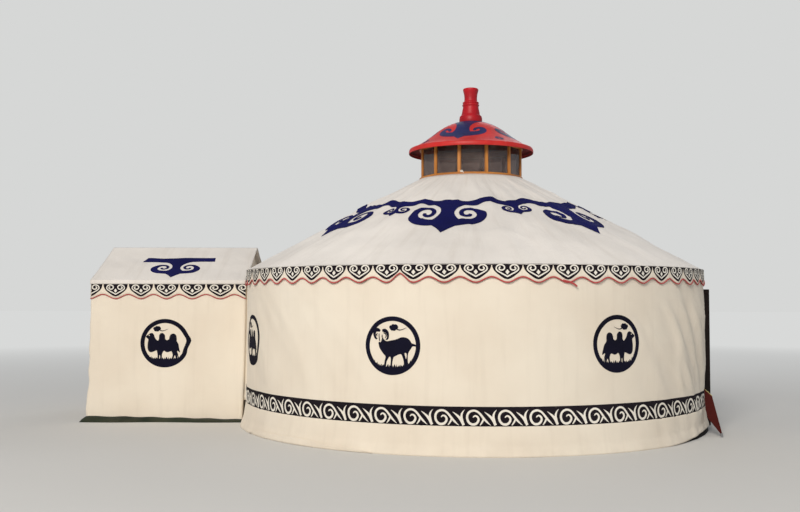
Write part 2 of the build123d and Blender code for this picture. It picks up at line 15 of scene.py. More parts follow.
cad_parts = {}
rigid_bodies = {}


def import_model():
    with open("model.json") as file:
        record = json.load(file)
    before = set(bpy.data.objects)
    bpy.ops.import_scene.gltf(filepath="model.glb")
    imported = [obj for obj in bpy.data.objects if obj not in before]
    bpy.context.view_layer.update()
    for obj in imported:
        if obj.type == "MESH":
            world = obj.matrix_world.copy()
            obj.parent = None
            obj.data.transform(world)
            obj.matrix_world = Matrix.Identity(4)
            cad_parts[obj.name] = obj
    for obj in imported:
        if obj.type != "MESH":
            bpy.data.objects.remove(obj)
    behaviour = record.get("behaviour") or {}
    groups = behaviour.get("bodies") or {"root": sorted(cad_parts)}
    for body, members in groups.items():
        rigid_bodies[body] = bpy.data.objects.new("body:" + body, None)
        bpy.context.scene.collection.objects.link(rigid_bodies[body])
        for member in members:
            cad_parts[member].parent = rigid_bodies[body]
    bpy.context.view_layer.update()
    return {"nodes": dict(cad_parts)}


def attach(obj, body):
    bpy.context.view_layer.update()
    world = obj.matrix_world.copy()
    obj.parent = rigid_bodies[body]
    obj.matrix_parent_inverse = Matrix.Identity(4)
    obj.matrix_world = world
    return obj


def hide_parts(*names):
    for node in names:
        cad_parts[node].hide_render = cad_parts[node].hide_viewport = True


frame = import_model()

log = logging.getLogger("yurt")

Point = tuple[float, ...]
Line = list[Point]
Colour = tuple[float, ...]
Socket = bpy.types.NodeSocket

# Main sizes in metres, as in the part's source
WALL_RADIUS = 3.0
EAVE_HEIGHT = 1.982
ROOF_TOP_RADIUS = 0.7
ROOF_TOP_HEIGHT = 3.228
ROOF_COVER = 0.016
ROOF_SLOPE = math.atan2(ROOF_TOP_HEIGHT - EAVE_HEIGHT, WALL_RADIUS - ROOF_TOP_RADIUS)
DOOR_HALF = 0.485
DOOR_TOP = 1.76
PASSAGE_FRONT = 0.395
PASSAGE_BACK = 1.245
PASSAGE_TOP = 1.7
DOOR_TURNS = tuple(math.pi / 2 + math.asin(edge / WALL_RADIUS) for edge in (-DOOR_HALF, DOOR_HALF))
PASSAGE_TURNS = tuple(-math.pi / 2 - math.asin(edge / WALL_RADIUS) for edge in (PASSAGE_BACK, PASSAGE_FRONT))
ROOF_TOP_S = (WALL_RADIUS - ROOF_TOP_RADIUS) / math.cos(ROOF_SLOPE)
POLE_STEP = math.radians(10.0)
FULL_TURN = 2 * math.pi
FLAT_MAP = "flat"
TINY = 1e-5
ALONG, ACROSS, UP = Vector((1.0, 0.0, 0.0)), Vector((0.0, 1.0, 0.0)), Vector((0.0, 0.0, 1.0))


def hill(value: float, middle: float, width: float) -> float:
    """Smooth hill of height 1 about a middle."""
    return math.exp(-(((value - middle) / width) ** 2))


def clamp(value: float, low: float = 0.0, high: float = 1.0) -> float:
    """Value held between two limits."""
    return min(high, max(low, value))


def turn_of(x: float, y: float) -> float:
    """Angle of a point round the yurt, from -Y towards +X."""
    return math.atan2(x, -y)


def outwards(turn: float) -> Vector:
    """Direction away from the yurt's axis at such an angle."""
    return Vector((math.sin(turn), -math.cos(turn), 0.0))


class Slot(Enum):
    """Material slots of the record."""

    CANVAS = "canvas"
    ROOF_CANVAS = "roof_canvas"
    BAND = "band"
    LATH = "lath"
    PAINTED_TIMBER = "painted_timber"
    DOOR_TIMBER = "door_timber"
    RED_CAP = "red_cap"
    PANE = "pane"
    GROUND_CLOTH = "ground_cloth"
    STRAP = "strap"
    STEEL = "steel"


def tone(red: int, green: int, blue: int) -> Colour:
    """Linear colour, with a full alpha, from screen values of 0 to 255."""
    screen = (red, green, blue)
    return (*(((c / 255 + 0.055) / 1.055) ** 2.4 if c > 10 else c / 255 / 12.92 for c in screen), 1.0)


class NodeBoard:
    """Node tree of one material, with short calls for what the finishes share."""

    def __init__(self, name: str) -> None:
        self.material = bpy.data.materials.new(name)
        self.material.use_nodes = True
        self.tree = self.material.node_tree
        self.shader = self.tree.nodes["Principled BSDF"]

    def fill(self, node: bpy.types.Node, inputs: dict[str | int, object]) -> None:
        """Links a node's inputs to sockets, or sets them to plain values."""
        for key, value in inputs.items():
            if isinstance(value, Socket):
                self.tree.links.new(value, node.inputs[key])
            else:
                node.inputs[key].default_value = value

    def output(self, kind: str, result: str | int, inputs: dict[str | int, object],
               **settings: object) -> Socket:
        """Output of a new node.

        Args:
            kind: Type of the node.
            result: Name or number of the output.
            inputs: Sockets or values for its inputs.
            settings: Properties of the node.

        Returns:
            The socket of the output.
        """
        node = self.tree.nodes.new(kind)
        for key, value in settings.items():
            setattr(node, key, value)
        self.fill(node, inputs)
        return node.outputs[result]

    def set(self, **values: object) -> None:
        """Fills inputs of the shader; an underscore in a name stands for a space."""
        self.fill(self.shader, {key.replace("_", " "): value for key, value in values.items()})

    def flat(self, scale: Point = (1.0, 1.0, 1.0)) -> Socket:
        """Coordinates in metres on the flat cloth or along the grain."""
        place = self.output("ShaderNodeUVMap", "UV", {}, uv_map=FLAT_MAP)
        return self.output("ShaderNodeMapping", "Vector", {"Vector": place, "Scale": scale})

    def space(self, scale: Point = (1.0, 1.0, 1.0)) -> Socket:
        """Object coordinates in metres."""
        place = self.output("ShaderNodeTexCoord", "Object", {})
        return self.output("ShaderNodeMapping", "Vector", {"Vector": place, "Scale": scale})

    def noise(self, vector: Socket, scale: float, detail: float = 3.0, roughness: float = 0.55) -> Socket:
        """Smooth noise from 0 to 1."""
        return self.output("ShaderNodeTexNoise", "Fac",
                           {"Vector": vector, "Scale": scale, "Detail": detail, "Roughness": roughness})

    def bands(self, vector: Socket, pitch: float, direction: str) -> Socket:
        """Sine bands with a pitch in metres."""
        return self.output("ShaderNodeTexWave", "Fac", {"Vector": vector, "Scale": math.pi / 10 / pitch},
                           bands_direction=direction)

    def stretch(self, value: Socket, low: float, high: float, to_low: float = 0.0,
                to_high: float = 1.0) -> Socket:
        """Value mapped from one range to another, held at its ends."""
        return self.output("ShaderNodeMapRange", "Result", {
            "Value": value, "From Min": low, "From Max": high, "To Min": to_low, "To Max": to_high})

    def combine(self, operation: str, first: Socket, second: Socket | float) -> Socket:
        """Result of arithmetic on a value and a value or number."""
        return self.output("ShaderNodeMath", "Value", {0: first, 1: second}, operation=operation)

    def mix(self, factor: Socket, first: Socket | Colour, second: Socket | Colour) -> Socket:
        """Colour between two colours."""
        return self.output("ShaderNodeMix", 2, {0: factor, 6: first, 7: second}, data_type="RGBA")

    def relief(self, value: Socket, depth: float, under: Socket | None = None) -> Socket:
        """Bump of a depth in metres, over another bump."""
        bump = {"Height": value, "Distance": depth, "Strength": 1.0}
        return self.output("ShaderNodeBump", "Normal", bump if under is None else {**bump, "Normal": under})


@dataclass(frozen=True)
class Finish:
    """A finish, with its name and the record's slot."""

    name: str
    slot: Slot

    def material(self) -> bpy.types.Material:
        """Material of the finish, made the first time."""
        made = bpy.data.materials.get(self.name)
        if made is None:
            board = NodeBoard(self.name)
            self.build(board)
            made = board.material
        return made

    def build(self, board: NodeBoard) -> None:
        """Builds the nodes of the finish."""
        raise NotImplementedError


@dataclass(frozen=True)
class Cloth(Finish):
    """Woven cloth with uneven dye, dust and fine creases."""

    colour: Colour
    shade: Colour
    soil: Colour = tone(150, 132, 108)
    soil_share: float = 0.0
    streaks: float = 0.0
    thread: float = 0.0016
    thread_depth: float = 0.00025
    crease_depth: float = 0.0012
    sheen: float = 0.15
    specular: float = 0.3

    def build(self, board: NodeBoard) -> None:
        """Builds the nodes of the cloth."""
        flat, space = board.flat(), board.space()
        dyed = board.mix(board.stretch(board.noise(space, 0.9, 4.0), 0.36, 0.66), self.shade, self.colour)
        if self.streaks:
            runs = board.noise(board.flat((9.0, 0.7, 1.0)), 1.0, 3.0)
            dyed = board.mix(board.stretch(runs, 0.52, 0.8, 0.0, self.streaks), dyed, self.soil)
        if self.soil_share:
            height = board.output("ShaderNodeSeparateXYZ", "Z", {"Vector": space})
            low = board.stretch(height, 0.0, 0.4, 1.0, 0.0)
            dust = board.combine("MULTIPLY", low, board.stretch(board.noise(space, 5.0, 5.0), 0.3, 0.7))
            dyed = board.mix(board.combine("MULTIPLY", dust, self.soil_share), dyed, self.soil)
        weave = board.combine(
            "ADD", board.bands(flat, self.thread, "X"), board.bands(flat, self.thread * 1.15, "Y"))
        under = board.relief(board.noise(flat, 7.0, 4.0, 0.6), self.crease_depth)
        board.set(Base_Color=dyed, Normal=board.relief(weave, self.thread_depth, under), Roughness=0.88,
                  Sheen_Weight=self.sheen, Sheen_Roughness=0.6, Specular_IOR_Level=self.specular)


@dataclass(frozen=True)
class Felt(Finish):
    """Pressed wool felt."""

    colour: Colour
    shade: Colour

    def build(self, board: NodeBoard) -> None:
        """Builds the nodes of the felt."""
        space = board.space()
        wool = board.mix(board.stretch(board.noise(space, 4.0, 4.0), 0.3, 0.7), self.shade, self.colour)
        board.set(Base_Color=wool, Normal=board.relief(board.noise(space, 90.0, 5.0, 0.7), 0.002),
                  Roughness=0.95, Sheen_Weight=0.3, Specular_IOR_Level=0.2)


@dataclass(frozen=True)
class Timber(Finish):
    """Timber with grain along its flat map, bare, varnished or painted."""

    light: Colour
    dark: Colour
    gloss: float = 0.3
    coat: float = 0.2
    wear: float = 0.0

    def build(self, board: NodeBoard) -> None:
        """Builds the nodes of the timber."""
        grain = board.noise(board.flat((1.6, 55.0, 1.0)), 1.0, 6.0, 0.65)
        knots = board.noise(board.flat((2.0, 9.0, 1.0)), 1.2, 2.0)
        figure = board.combine("MULTIPLY", grain, board.stretch(knots, 0.3, 0.7, 0.7, 1.15))
        wood = board.mix(board.stretch(figure, 0.3, 0.62), self.dark, self.light)
        if self.wear:
            spots = board.stretch(board.noise(board.space(), 22.0, 5.0, 0.7), 0.6, 0.72, 0.0, self.wear)
            wood = board.mix(spots, wood, tone(150, 132, 110))
        rough = board.stretch(grain, 0.2, 0.8, 1.0 - self.gloss - 0.1, 1.0 - self.gloss + 0.1)
        board.set(Base_Color=wood, Roughness=rough, Normal=board.relief(grain, 0.0006), Coat_Weight=self.coat,
                  Coat_Roughness=0.25, Specular_IOR_Level=0.2 + self.coat)


@dataclass(frozen=True)
class LooseTimber(Finish):
    """Timber for the frame's carried-over solids, with grain from object coordinates."""

    light: Colour
    dark: Colour

    def build(self, board: NodeBoard) -> None:
        """Builds the nodes of the timber."""
        space = board.space()
        grain = board.noise(space, 26.0, 6.0, 0.7)
        figure = board.combine("MULTIPLY", grain, board.noise(space, 3.0, 3.0))
        colour = board.mix(board.stretch(figure, 0.12, 0.4), self.dark, self.light)
        board.set(Base_Color=colour, Roughness=0.55, Normal=board.relief(grain, 0.0008), Coat_Weight=0.15,
                  Coat_Roughness=0.3)


@dataclass(frozen=True)
class Paint(Finish):
    """Gloss paint on metal, with dust and faint brush marks."""

    colour: Colour
    shade: Colour
    gloss: float = 0.55
    dust: float = 0.08

    def build(self, board: NodeBoard) -> None:
        """Builds the nodes of the paint."""
        space = board.space()
        tint = board.mix(board.stretch(board.noise(space, 3.5, 4.0), 0.35, 0.65), self.shade, self.colour)
        film = board.stretch(board.noise(space, 9.0, 6.0, 0.7), 0.5, 0.75, 0.0, self.dust)
        brushed = board.noise(board.space((1.0, 1.0, 6.0)), 18.0, 3.0)
        rough = board.stretch(brushed, 0.3, 0.7, 1.0 - self.gloss - 0.06, 1.0 - self.gloss + 0.08)
        board.set(Base_Color=board.mix(film, tint, tone(176, 140, 120)), Roughness=rough,
                  Normal=board.relief(brushed, 0.0004), Coat_Weight=0.05, Coat_Roughness=0.3,
                  Specular_IOR_Level=0.28)


@dataclass(frozen=True)
class Glass(Finish):
    """Clear window glass with a little dust."""

    tint: Colour

    def build(self, board: NodeBoard) -> None:
        """Builds the nodes of the glass."""
        film = board.noise(board.space(), 5.0, 5.0, 0.7)
        board.set(Base_Color=self.tint, IOR=1.45, Roughness=board.stretch(film, 0.5, 0.8, 0.02, 0.22),
                  Transmission_Weight=board.stretch(film, 0.35, 0.7, 0.96, 0.80))


@dataclass(frozen=True)
class Steel(Finish):
    """Dull galvanised steel."""

    colour: Colour

    def build(self, board: NodeBoard) -> None:
        """Builds the nodes of the steel."""
        space = board.space()
        spangle = board.noise(space, 60.0, 4.0, 0.7)
        rust = board.stretch(board.noise(space, 14.0, 5.0, 0.7), 0.62, 0.74)
        board.set(Base_Color=board.mix(rust, self.colour, tone(122, 74, 48)), Metallic=0.85,
                  Roughness=board.stretch(spangle, 0.3, 0.7, 0.35, 0.6), Normal=board.relief(spangle, 0.0003))


@dataclass(frozen=True)
class Ground(Finish):
    """Plain pale studio floor, which turns into the even tone of the backdrop far out."""

    colour: Colour
    backdrop: Colour

    def build(self, board: NodeBoard) -> None:
        """Builds the nodes of the floor."""
        space = board.space()
        reach = board.output("ShaderNodeVectorMath", "Value", {0: space}, operation="LENGTH")
        far = board.stretch(reach, 6.0, 24.0)
        lighter = tuple(min(1.0, c * 1.03) for c in self.colour)
        pale = board.mix(board.noise(space, 0.5, 4.0), self.colour, lighter)
        board.set(Base_Color=board.mix(far, pale, (0.0, 0.0, 0.0, 1.0)), Emission_Strength=far,
                  Emission_Color=self.backdrop, Roughness=0.9, Specular_IOR_Level=0.1)


BACKDROP = tone(214, 215, 214)
DARK = {"crease_depth": 0.0006, "sheen": 0.0, "specular": 0.12}
CREAM = Cloth("cream_canvas", Slot.CANVAS, tone(236, 225, 207), tone(228, 215, 196), soil_share=0.12,
              streaks=0.1)
WHITE = Cloth("white_canvas", Slot.ROOF_CANVAS, tone(234, 227, 219), tone(219, 212, 204), streaks=0.18,
              crease_depth=0.005)
CHARCOAL = Cloth("charcoal_cloth", Slot.BAND, tone(32, 26, 32), tone(23, 18, 24), **DARK)
NAVY = Cloth("navy_cloth", Slot.BAND, tone(20, 22, 92), tone(14, 15, 66), **DARK)
INK = Cloth("ink_cloth", Slot.BAND, tone(19, 18, 40), tone(15, 14, 28), **DARK)
RIBBON = Cloth("ribbon_white", Slot.CANVAS, tone(240, 234, 222), tone(226, 219, 206), crease_depth=0.0005)
PIPING = Cloth("red_piping", Slot.BAND, tone(190, 74, 72), tone(168, 62, 60), crease_depth=0.0004, sheen=0.1)
GREEN = Cloth("green_ground_cloth", Slot.GROUND_CLOTH, tone(38, 50, 34), tone(24, 32, 22), soil_share=0.1,
              sheen=0.05, specular=0.2)
# Near-black cloth laid on the ground under the skirt's raised hem, which paints the shade there.
SHADE_STRIP_CLOTH = Cloth("painted_shade_strip", Slot.GROUND_CLOTH, tone(34, 30, 28), tone(24, 21, 20), sheen=0.0,
                    specular=0.15)
WEBBING = Cloth("maroon_webbing", Slot.STRAP, tone(84, 26, 20), tone(44, 16, 14), thread=0.003,
                thread_depth=0.0006, sheen=0.0, specular=0.1)
BINDING = Cloth("yellow_binding", Slot.STRAP, tone(205, 190, 120), tone(186, 170, 104), crease_depth=0.0005)
FELT = Felt("wool_felt", Slot.CANVAS, tone(214, 208, 196), tone(188, 180, 166))
LATH = LooseTimber("oiled_lath", Slot.LATH, tone(196, 140, 86), tone(140, 88, 48))
AMBER = Timber("amber_varnish", Slot.PAINTED_TIMBER, tone(204, 134, 58), tone(164, 98, 36), 0.4, 0.2,
               wear=0.2)
WALNUT = Timber("dark_door_timber", Slot.DOOR_TIMBER, tone(34, 22, 20), tone(16, 11, 10), 0.25, 0.0)
RED = Paint("red_gloss", Slot.RED_CAP, tone(202, 42, 38), tone(182, 32, 30))
# Darker red on the cap's downward faces: painted shade under the brim.
UNDERSIDE_SHADE = Paint("cap_underside_painted_shade", Slot.RED_CAP, tone(132, 34, 34), tone(104, 26, 28), gloss=0.2, dust=0.0)
SCARLET = Paint("scarlet_gloss", Slot.RED_CAP, tone(184, 18, 30), tone(150, 12, 24), dust=0.0)
BLUE = Paint("blue_gloss", Slot.RED_CAP, tone(32, 38, 92), tone(22, 26, 70), gloss=0.5, dust=0.03)
PANE = Glass("window_glass", Slot.PANE, tone(178, 160, 152))
CORD = Cloth("white_cord", Slot.CANVAS, tone(238, 232, 222), tone(214, 206, 194), crease_depth=0.0004)
STEEL = Steel("dull_steel", Slot.STEEL, tone(150, 150, 152))
FLOOR = Ground("pale_floor", Slot.CANVAS, tone(208, 206, 202), BACKDROP)


def between(before: Point, start: Point, end: Point, after: Point, share: float) -> Point:
    """Point of a smooth line between two of its points.

    Args:
        before: Point before the start.
        start: Start of the span.
        end: End of the span.
        after: Point after the end.
        share: Place in the span, from 0 to 1.

    Returns:
        The point, with as many numbers as the ones given.
    """
    square, cube = share * share, share**3
    weights = (2 * square - share - cube, 3 * cube - 5 * square + 2, share + 4 * square - 3 * cube,
               cube - square)
    return tuple(sum(w * c for w, c in zip(weights, column)) / 2 for column in zip(before, start, end, after))


def smooth_line(points: Sequence[Point], steps: int = 5, closed: bool = False) -> Line:
    """Smooth line through points.

    Args:
        points: Points of the line, each of two or three numbers.
        steps: Steps from point to point.
        closed: Whether the line comes back to its start.

    Returns:
        The points of the smooth line.
    """
    count = len(points)
    line = []
    for index in range(count if closed else count - 1):
        around = [index + shift for shift in (-1, 0, 1, 2)]
        picked = [points[i % count] if closed else points[min(max(i, 0), count - 1)] for i in around]
        line += [between(*picked, step / steps) for step in range(steps)]
    return line if closed else line + [tuple(points[-1])]


def stroke(points: Sequence[Point], steps: int = 5) -> Line:
    """Outline of a ribbon whose width changes along its line.

    Args:
        points: Points (x, y, width) along the middle of the ribbon.
        steps: Steps from point to point.

    Returns:
        The closed outline.
    """
    line = smooth_line(points, steps)
    left, right = [], []
    for index, (x, y, width) in enumerate(line):
        x0, y0 = line[max(index - 1, 0)][:2]
        x1, y1 = line[min(index + 1, len(line) - 1)][:2]
        half = width / 2 / max(math.hypot(x1 - x0, y1 - y0), TINY)
        left.append((x - (y1 - y0) * half, y + (x1 - x0) * half))
        right.append((x + (y1 - y0) * half, y - (x1 - x0) * half))
    return left + right[::-1]


def flipped(points: Sequence[Point]) -> Line:
    """Line mirrored left to right, run backwards."""
    return [(-p[0], *p[1:]) for p in reversed(points)]


def scaled(points: Sequence[Point], wide: float, tall: float, right: float = 0.0, up: float = 0.0) -> Line:
    """Line stretched and moved; a third number, a width, takes the mean of the two scales."""
    return [(p[0] * wide + right, p[1] * tall + up, *(w * (wide + tall) / 2 for w in p[2:])) for p in points]


def disc(radius: float, steps: int = 40, squash: float = 1.0) -> Line:
    """Round or oval outline."""
    turns = [2 * math.pi * i / steps for i in range(steps)]
    return [(radius * math.cos(t), radius * squash * math.sin(t)) for t in turns]


def set_flat_map(shape: BMesh) -> None:
    """Stores each corner's place on the flat cloth, in metres."""
    layer = shape.loops.layers.uv.get(FLAT_MAP) or shape.loops.layers.uv.new(FLAT_MAP)
    for face in shape.faces:
        for loop in face.loops:
            loop[layer].uv = loop.vert.co.xy


def sewn(shape: BMesh, share: float = 1.0) -> BMesh:
    """Shape with its corners merged where they meet."""
    bmesh.ops.remove_doubles(shape, verts=shape.verts[:], dist=TINY * share)
    return shape


def moved(shape: BMesh, x: float, y: float, z: float = 0.0) -> BMesh:
    """Shape shifted by a distance."""
    bmesh.ops.translate(shape, verts=shape.verts[:], vec=(x, y, z))
    return shape


def of_curve(lines: Iterable[Sequence[Point]], closed: bool, **settings: object) -> BMesh:
    """Shape that a curve makes of lines of points.

    Args:
        lines: Lines of two or three numbers a point.
        closed: Whether each line comes back to its start.
        settings: Properties of the curve.

    Returns:
        The closed shape, without a flat map.
    """
    curve = bpy.data.curves.new("line", "CURVE")
    for key, value in settings.items():
        setattr(curve, key, value)
    for line in lines:
        spline = curve.splines.new("POLY")
        spline.points.add(len(line) - 1)
        for point, (x, y, *z) in zip(spline.points, line):
            point.co = (x, y, *(z or (0.0,)), 1.0)
        spline.use_cyclic_u = closed
    holder = bpy.data.objects.new("line", curve)
    mesh = bpy.data.meshes.new_from_object(holder)
    shape = bmesh.new()
    shape.from_mesh(mesh)
    for block, store in ((holder, bpy.data.objects), (curve, bpy.data.curves), (mesh, bpy.data.meshes)):
        store.remove(block)
    for name in shape.loops.layers.uv.keys():
        shape.loops.layers.uv.remove(shape.loops.layers.uv[name])
    bmesh.ops.recalc_face_normals(sewn(shape), faces=shape.faces[:])
    return shape


def filled(outlines: Sequence[Line], thickness: float, base: float = 0.0) -> BMesh:
    """Flat piece cut to closed outlines, from its underside up; an outline inside another is a hole."""
    shape = of_curve(outlines, True, dimensions="2D", fill_mode="BOTH", extrude=thickness / 2)
    return moved(shape, 0.0, 0.0, base + thickness / 2)


def tube(points: Sequence[Vector], radius: float, closed: bool = False) -> BMesh:
    """Round trim of a radius along the points of its middle line."""
    return of_curve([points], closed, dimensions="3D", bevel_depth=radius, bevel_resolution=2,
                    use_fill_caps=not closed)


def dice(shape: BMesh, step: Point) -> BMesh:
    """Cuts a flat piece on evenly spaced lines, so that it can follow a curve.

    Args:
        shape: The flat piece.
        step: Spacing of the lines along X and along Y; 0 leaves them out.

    Returns:
        The same piece.
    """
    for axis, (spacing, normal) in enumerate(zip(step, (ALONG, ACROSS))):
        if spacing:
            places = [vert.co[axis] for vert in shape.verts]
            for index in range(math.ceil(min(places) / spacing), math.floor(max(places) / spacing) + 1):
                cut(shape, normal * index * spacing, normal)
    return shape


def cut(shape: BMesh, place: Vector, normal: Vector, clear: bool = False) -> None:
    """Cuts a shape on a plane.

    Args:
        shape: The shape.
        place: A point on the plane.
        normal: The plane's normal.
        clear: Whether what lies past the plane is cleared and the cut closed.
    """
    everything = shape.verts[:] + shape.edges[:] + shape.faces[:]
    made = bmesh.ops.bisect_plane(
        shape, geom=everything, dist=TINY, plane_co=place, plane_no=normal, clear_outer=clear)
    if clear:
        edges = [g for g in made["geom_cut"] if isinstance(g, bmesh.types.BMEdge) and len(g.link_faces) == 1]
        if edges and any(abs(e.verts[0].co.z - e.verts[1].co.z) > TINY for e in edges):
            bmesh.ops.holes_fill(shape, edges=edges)


def grid(low: Point, high: Point, step: Point) -> BMesh:
    """Flat cloth between two corners, in near-square cells.

    Args:
        low: Lowest corner.
        high: Highest corner.
        step: Size of a cell.

    Returns:
        The flat shape on XY.
    """
    shape = bmesh.new()
    counts = [max(1, round((b - a) / s)) for a, b, s in zip(low, high, step)]
    bmesh.ops.create_grid(shape, x_segments=counts[0], y_segments=counts[1], size=0.5)
    size = [b - a for a, b in zip(low, high)]
    bmesh.ops.scale(shape, verts=shape.verts[:], vec=(*size, 1.0))
    return moved(shape, low[0] + size[0] / 2, low[1] + size[1] / 2)


def knock_out(shape: BMesh, low: Point, high: Point) -> None:
    """Cuts a rectangular opening in a flat cloth."""
    for axis, normal in enumerate((ALONG, ACROSS)):
        for limit in (low[axis], high[axis]):
            cut(shape, normal * limit, normal)
    inside = [face for face in shape.faces
              if all(a < c < b for a, b, c in zip(low, high, face.calc_center_median().xy))]
    bmesh.ops.delete(shape, geom=inside, context="FACES")


def trimmed(shape: BMesh, low: float, high: float) -> BMesh:
    """Shape cut off below one X and above another."""
    cut(shape, ALONG * low, -ALONG, clear=True)
    cut(shape, ALONG * high, ALONG, clear=True)
    return shape


def joined(shapes: Iterable[BMesh]) -> BMesh:
    """Several shapes as one; the parts are freed."""
    whole = bmesh.new()
    for shape in shapes:
        mesh = bpy.data.meshes.new("part")
        shape.to_mesh(mesh)
        shape.free()
        whole.from_mesh(mesh)
        bpy.data.meshes.remove(mesh)
    return whole


def repeated(shape: BMesh, places: Iterable[Point]) -> BMesh:
    """Copies of a flat shape at places along X and Y."""
    return joined(moved(shape.copy(), *place) for place in places)


def layered(groups: Iterable[Sequence[Line]], step: Point, base: float = 0.0, thickness: float = 0.0016,
            rise: float = 0.0003) -> BMesh:
    """Cut pieces laid over each other, each a little thicker than the last, so that no two tops meet.

    Args:
        groups: Outlines of each piece.
        step: Spacing of the lines that the pieces are cut on, to follow a curve.
        base: Height of their underside.
        thickness: Thickness of the first.
        rise: What each is thicker than the one before.

    Returns:
        The flat shape.
    """
    parts = [filled(group, thickness + rise * index, base) for index, group in enumerate(groups)]
    return dice(joined(parts), step)


class Surface(Protocol):
    """A surface that flat pieces are wrapped on."""

    def place(self, turn: float, along: float, up: float, lift: float) -> Vector:
        """Point over the surface."""


def wrapped(shape: BMesh, surface: Surface, turn: float = 0.0, merge: bool = False) -> BMesh:
    """Lays a flat shape on a surface.

    Args:
        shape: Flat shape: X runs along the surface, Y up it and Z is the lift off it.
        surface: The surface.
        turn: Angle or distance of the shape's middle along the surface.
        merge: Whether edges that meet are sewn together.

    Returns:
        The same shape in its place.
    """
    set_flat_map(shape)
    for vert in shape.verts:
        vert.co = surface.place(turn, *vert.co)
    return sewn(shape, 10.0) if merge else shape


def spun(shape: BMesh, surface: Surface, lift: float = 0.0, scale: float = 1.0) -> BMesh:
    """Lays a flat shape on a turned surface by angle.

    Args:
        shape: Flat shape: X is an angle, Y runs up the surface and Z is the lift off it.
        surface: The surface.
        lift: Lift added all over.
        scale: What the angles are given too large by.

    Returns:
        The same shape in its place.
    """
    for vert in shape.verts:
        x, y, z = vert.co
        vert.co = surface.place(x / scale, 0.0, y, z + lift)
    return shape


def ripple(angle: float, up: float, turns: float, rise: float, seed: float) -> float:
    """Smooth noise on a turned surface, which closes on itself after a full turn."""
    return noise.noise(Vector((math.sin(angle) * turns, math.cos(angle) * turns, up * rise + seed)))


def softened(depth: float, limit: float) -> float:
    """Depth of a fold, which is held back past a limit, where the frame lies under the cloth."""
    return depth if depth > limit else limit + 0.10 * (depth - limit)


def creased(value: float, sharpness: float) -> float:
    """Narrow crease of height 1 where a value passes through zero."""
    return max(0.0, 1.0 - sharpness * abs(value)) ** 2


class TurnedSurface:
    """A profile turned about the yurt's axis, with folds."""

    def profile(self, up: float) -> Point:
        """Radius, height and unit normal (out, rise) of the profile."""
        raise NotImplementedError

    def fold(self, angle: float, up: float) -> float:
        """Depth of the folds, outwards."""
        return 0.0

    def place(self, turn: float, along: float, up: float, lift: float) -> Vector:
        """Point over the surface.

        Args:
            turn: Angle from -Y towards +X that the flat piece is centred on.
            along: Distance round from there.
            up: Distance up the profile.
            lift: Distance off the surface.

        Returns:
            The point in the row frame.
        """
        radius, height, out, rise = self.profile(up)
        angle = turn + along / radius
        depth = lift + self.fold(angle, up)
        radius += depth * out
        return Vector((radius * math.sin(angle), -radius * math.cos(angle), height + depth * rise))


def wall_fold(angle: float, up: float) -> float:
    """Slack of the round wall's canvas: smooth in front, in long folds beside the doorway and the tent.

    Args:
        angle: Angle round the yurt from -Y towards +X.
        up: Height above the ground.

    Returns:
        Depth of the folds, outwards.
    """
    tight = clamp((EAVE_HEIGHT - 0.14 - up) / 0.4) * clamp((up - 0.3) / 0.4, 0.4)
    turn = (angle + math.pi) % FULL_TURN - math.pi
    side = hill(turn, 1.0, 0.28)
    loose = 0.25 + 1.5 * side + 0.5 * hill(turn, -1.05, 0.3) + 0.6 * hill(abs(turn), math.pi, 0.8)
    lean = angle + 0.10 * up + 0.07 * up * up
    long = ripple(lean, up, 13.0, 0.5, 3.1)
    ridge = creased(ripple(lean, up, 8.0, 0.8, 6.7), 4.0)
    fine = ripple(angle + up * 0.12, up, 30.0, 1.7, 8.4)
    slant = angle + 0.22 * up
    folds = 0.4 + 1.3 * ripple(slant, up, 16.0, 0.9, 5.2) + 0.5 * ripple(slant + 0.1 * up, up, 34.0, 0.8, 2.9)
    depth = loose * (0.026 * long + 0.010 * ridge + 0.004 * fine) + 0.0015 * fine + 0.050 * side * folds
    return softened(-0.006 + tight * depth, -0.010)


@dataclass(frozen=True)
class WallSurface(TurnedSurface):
    """The round wall."""

    inset: float = 0.0

    def profile(self, up: float) -> Point:
        """Radius, height and normal at a height."""
        return WALL_RADIUS - self.inset, up, 1.0, 0.0

    def fold(self, angle: float, up: float) -> float:
        """Slack of the canvas; a layer under it only gives way inwards."""
        return min(wall_fold(angle, up), 0.0) if self.inset else wall_fold(angle, up)


def along_profile(points: Sequence[Point], up: float) -> Point:
    """Point and normal of a profile of straight runs.

    Args:
        points: (radius, height) points from the foot up.
        up: Distance up the profile from its first point.

    Returns:
        Radius, height and the unit normal, blended at the bends.
    """
    left = up
    for index, ((r0, z0), (r1, z1)) in enumerate(zip(points, points[1:])):
        run = math.hypot(r1 - r0, z1 - z0)
        if left <= run or index == len(points) - 2:
            share = left / run
            return r0 + (r1 - r0) * share, z0 + (z1 - z0) * share, (z1 - z0) / run, (r0 - r1) / run
        left -= run
    return 0.0, 0.0, 1.0, 0.0


def length_of(points: Sequence[Point]) -> float:
    """Length of a line of straight runs."""
    return sum(math.dist(a, b) for a, b in zip(points, points[1:]))


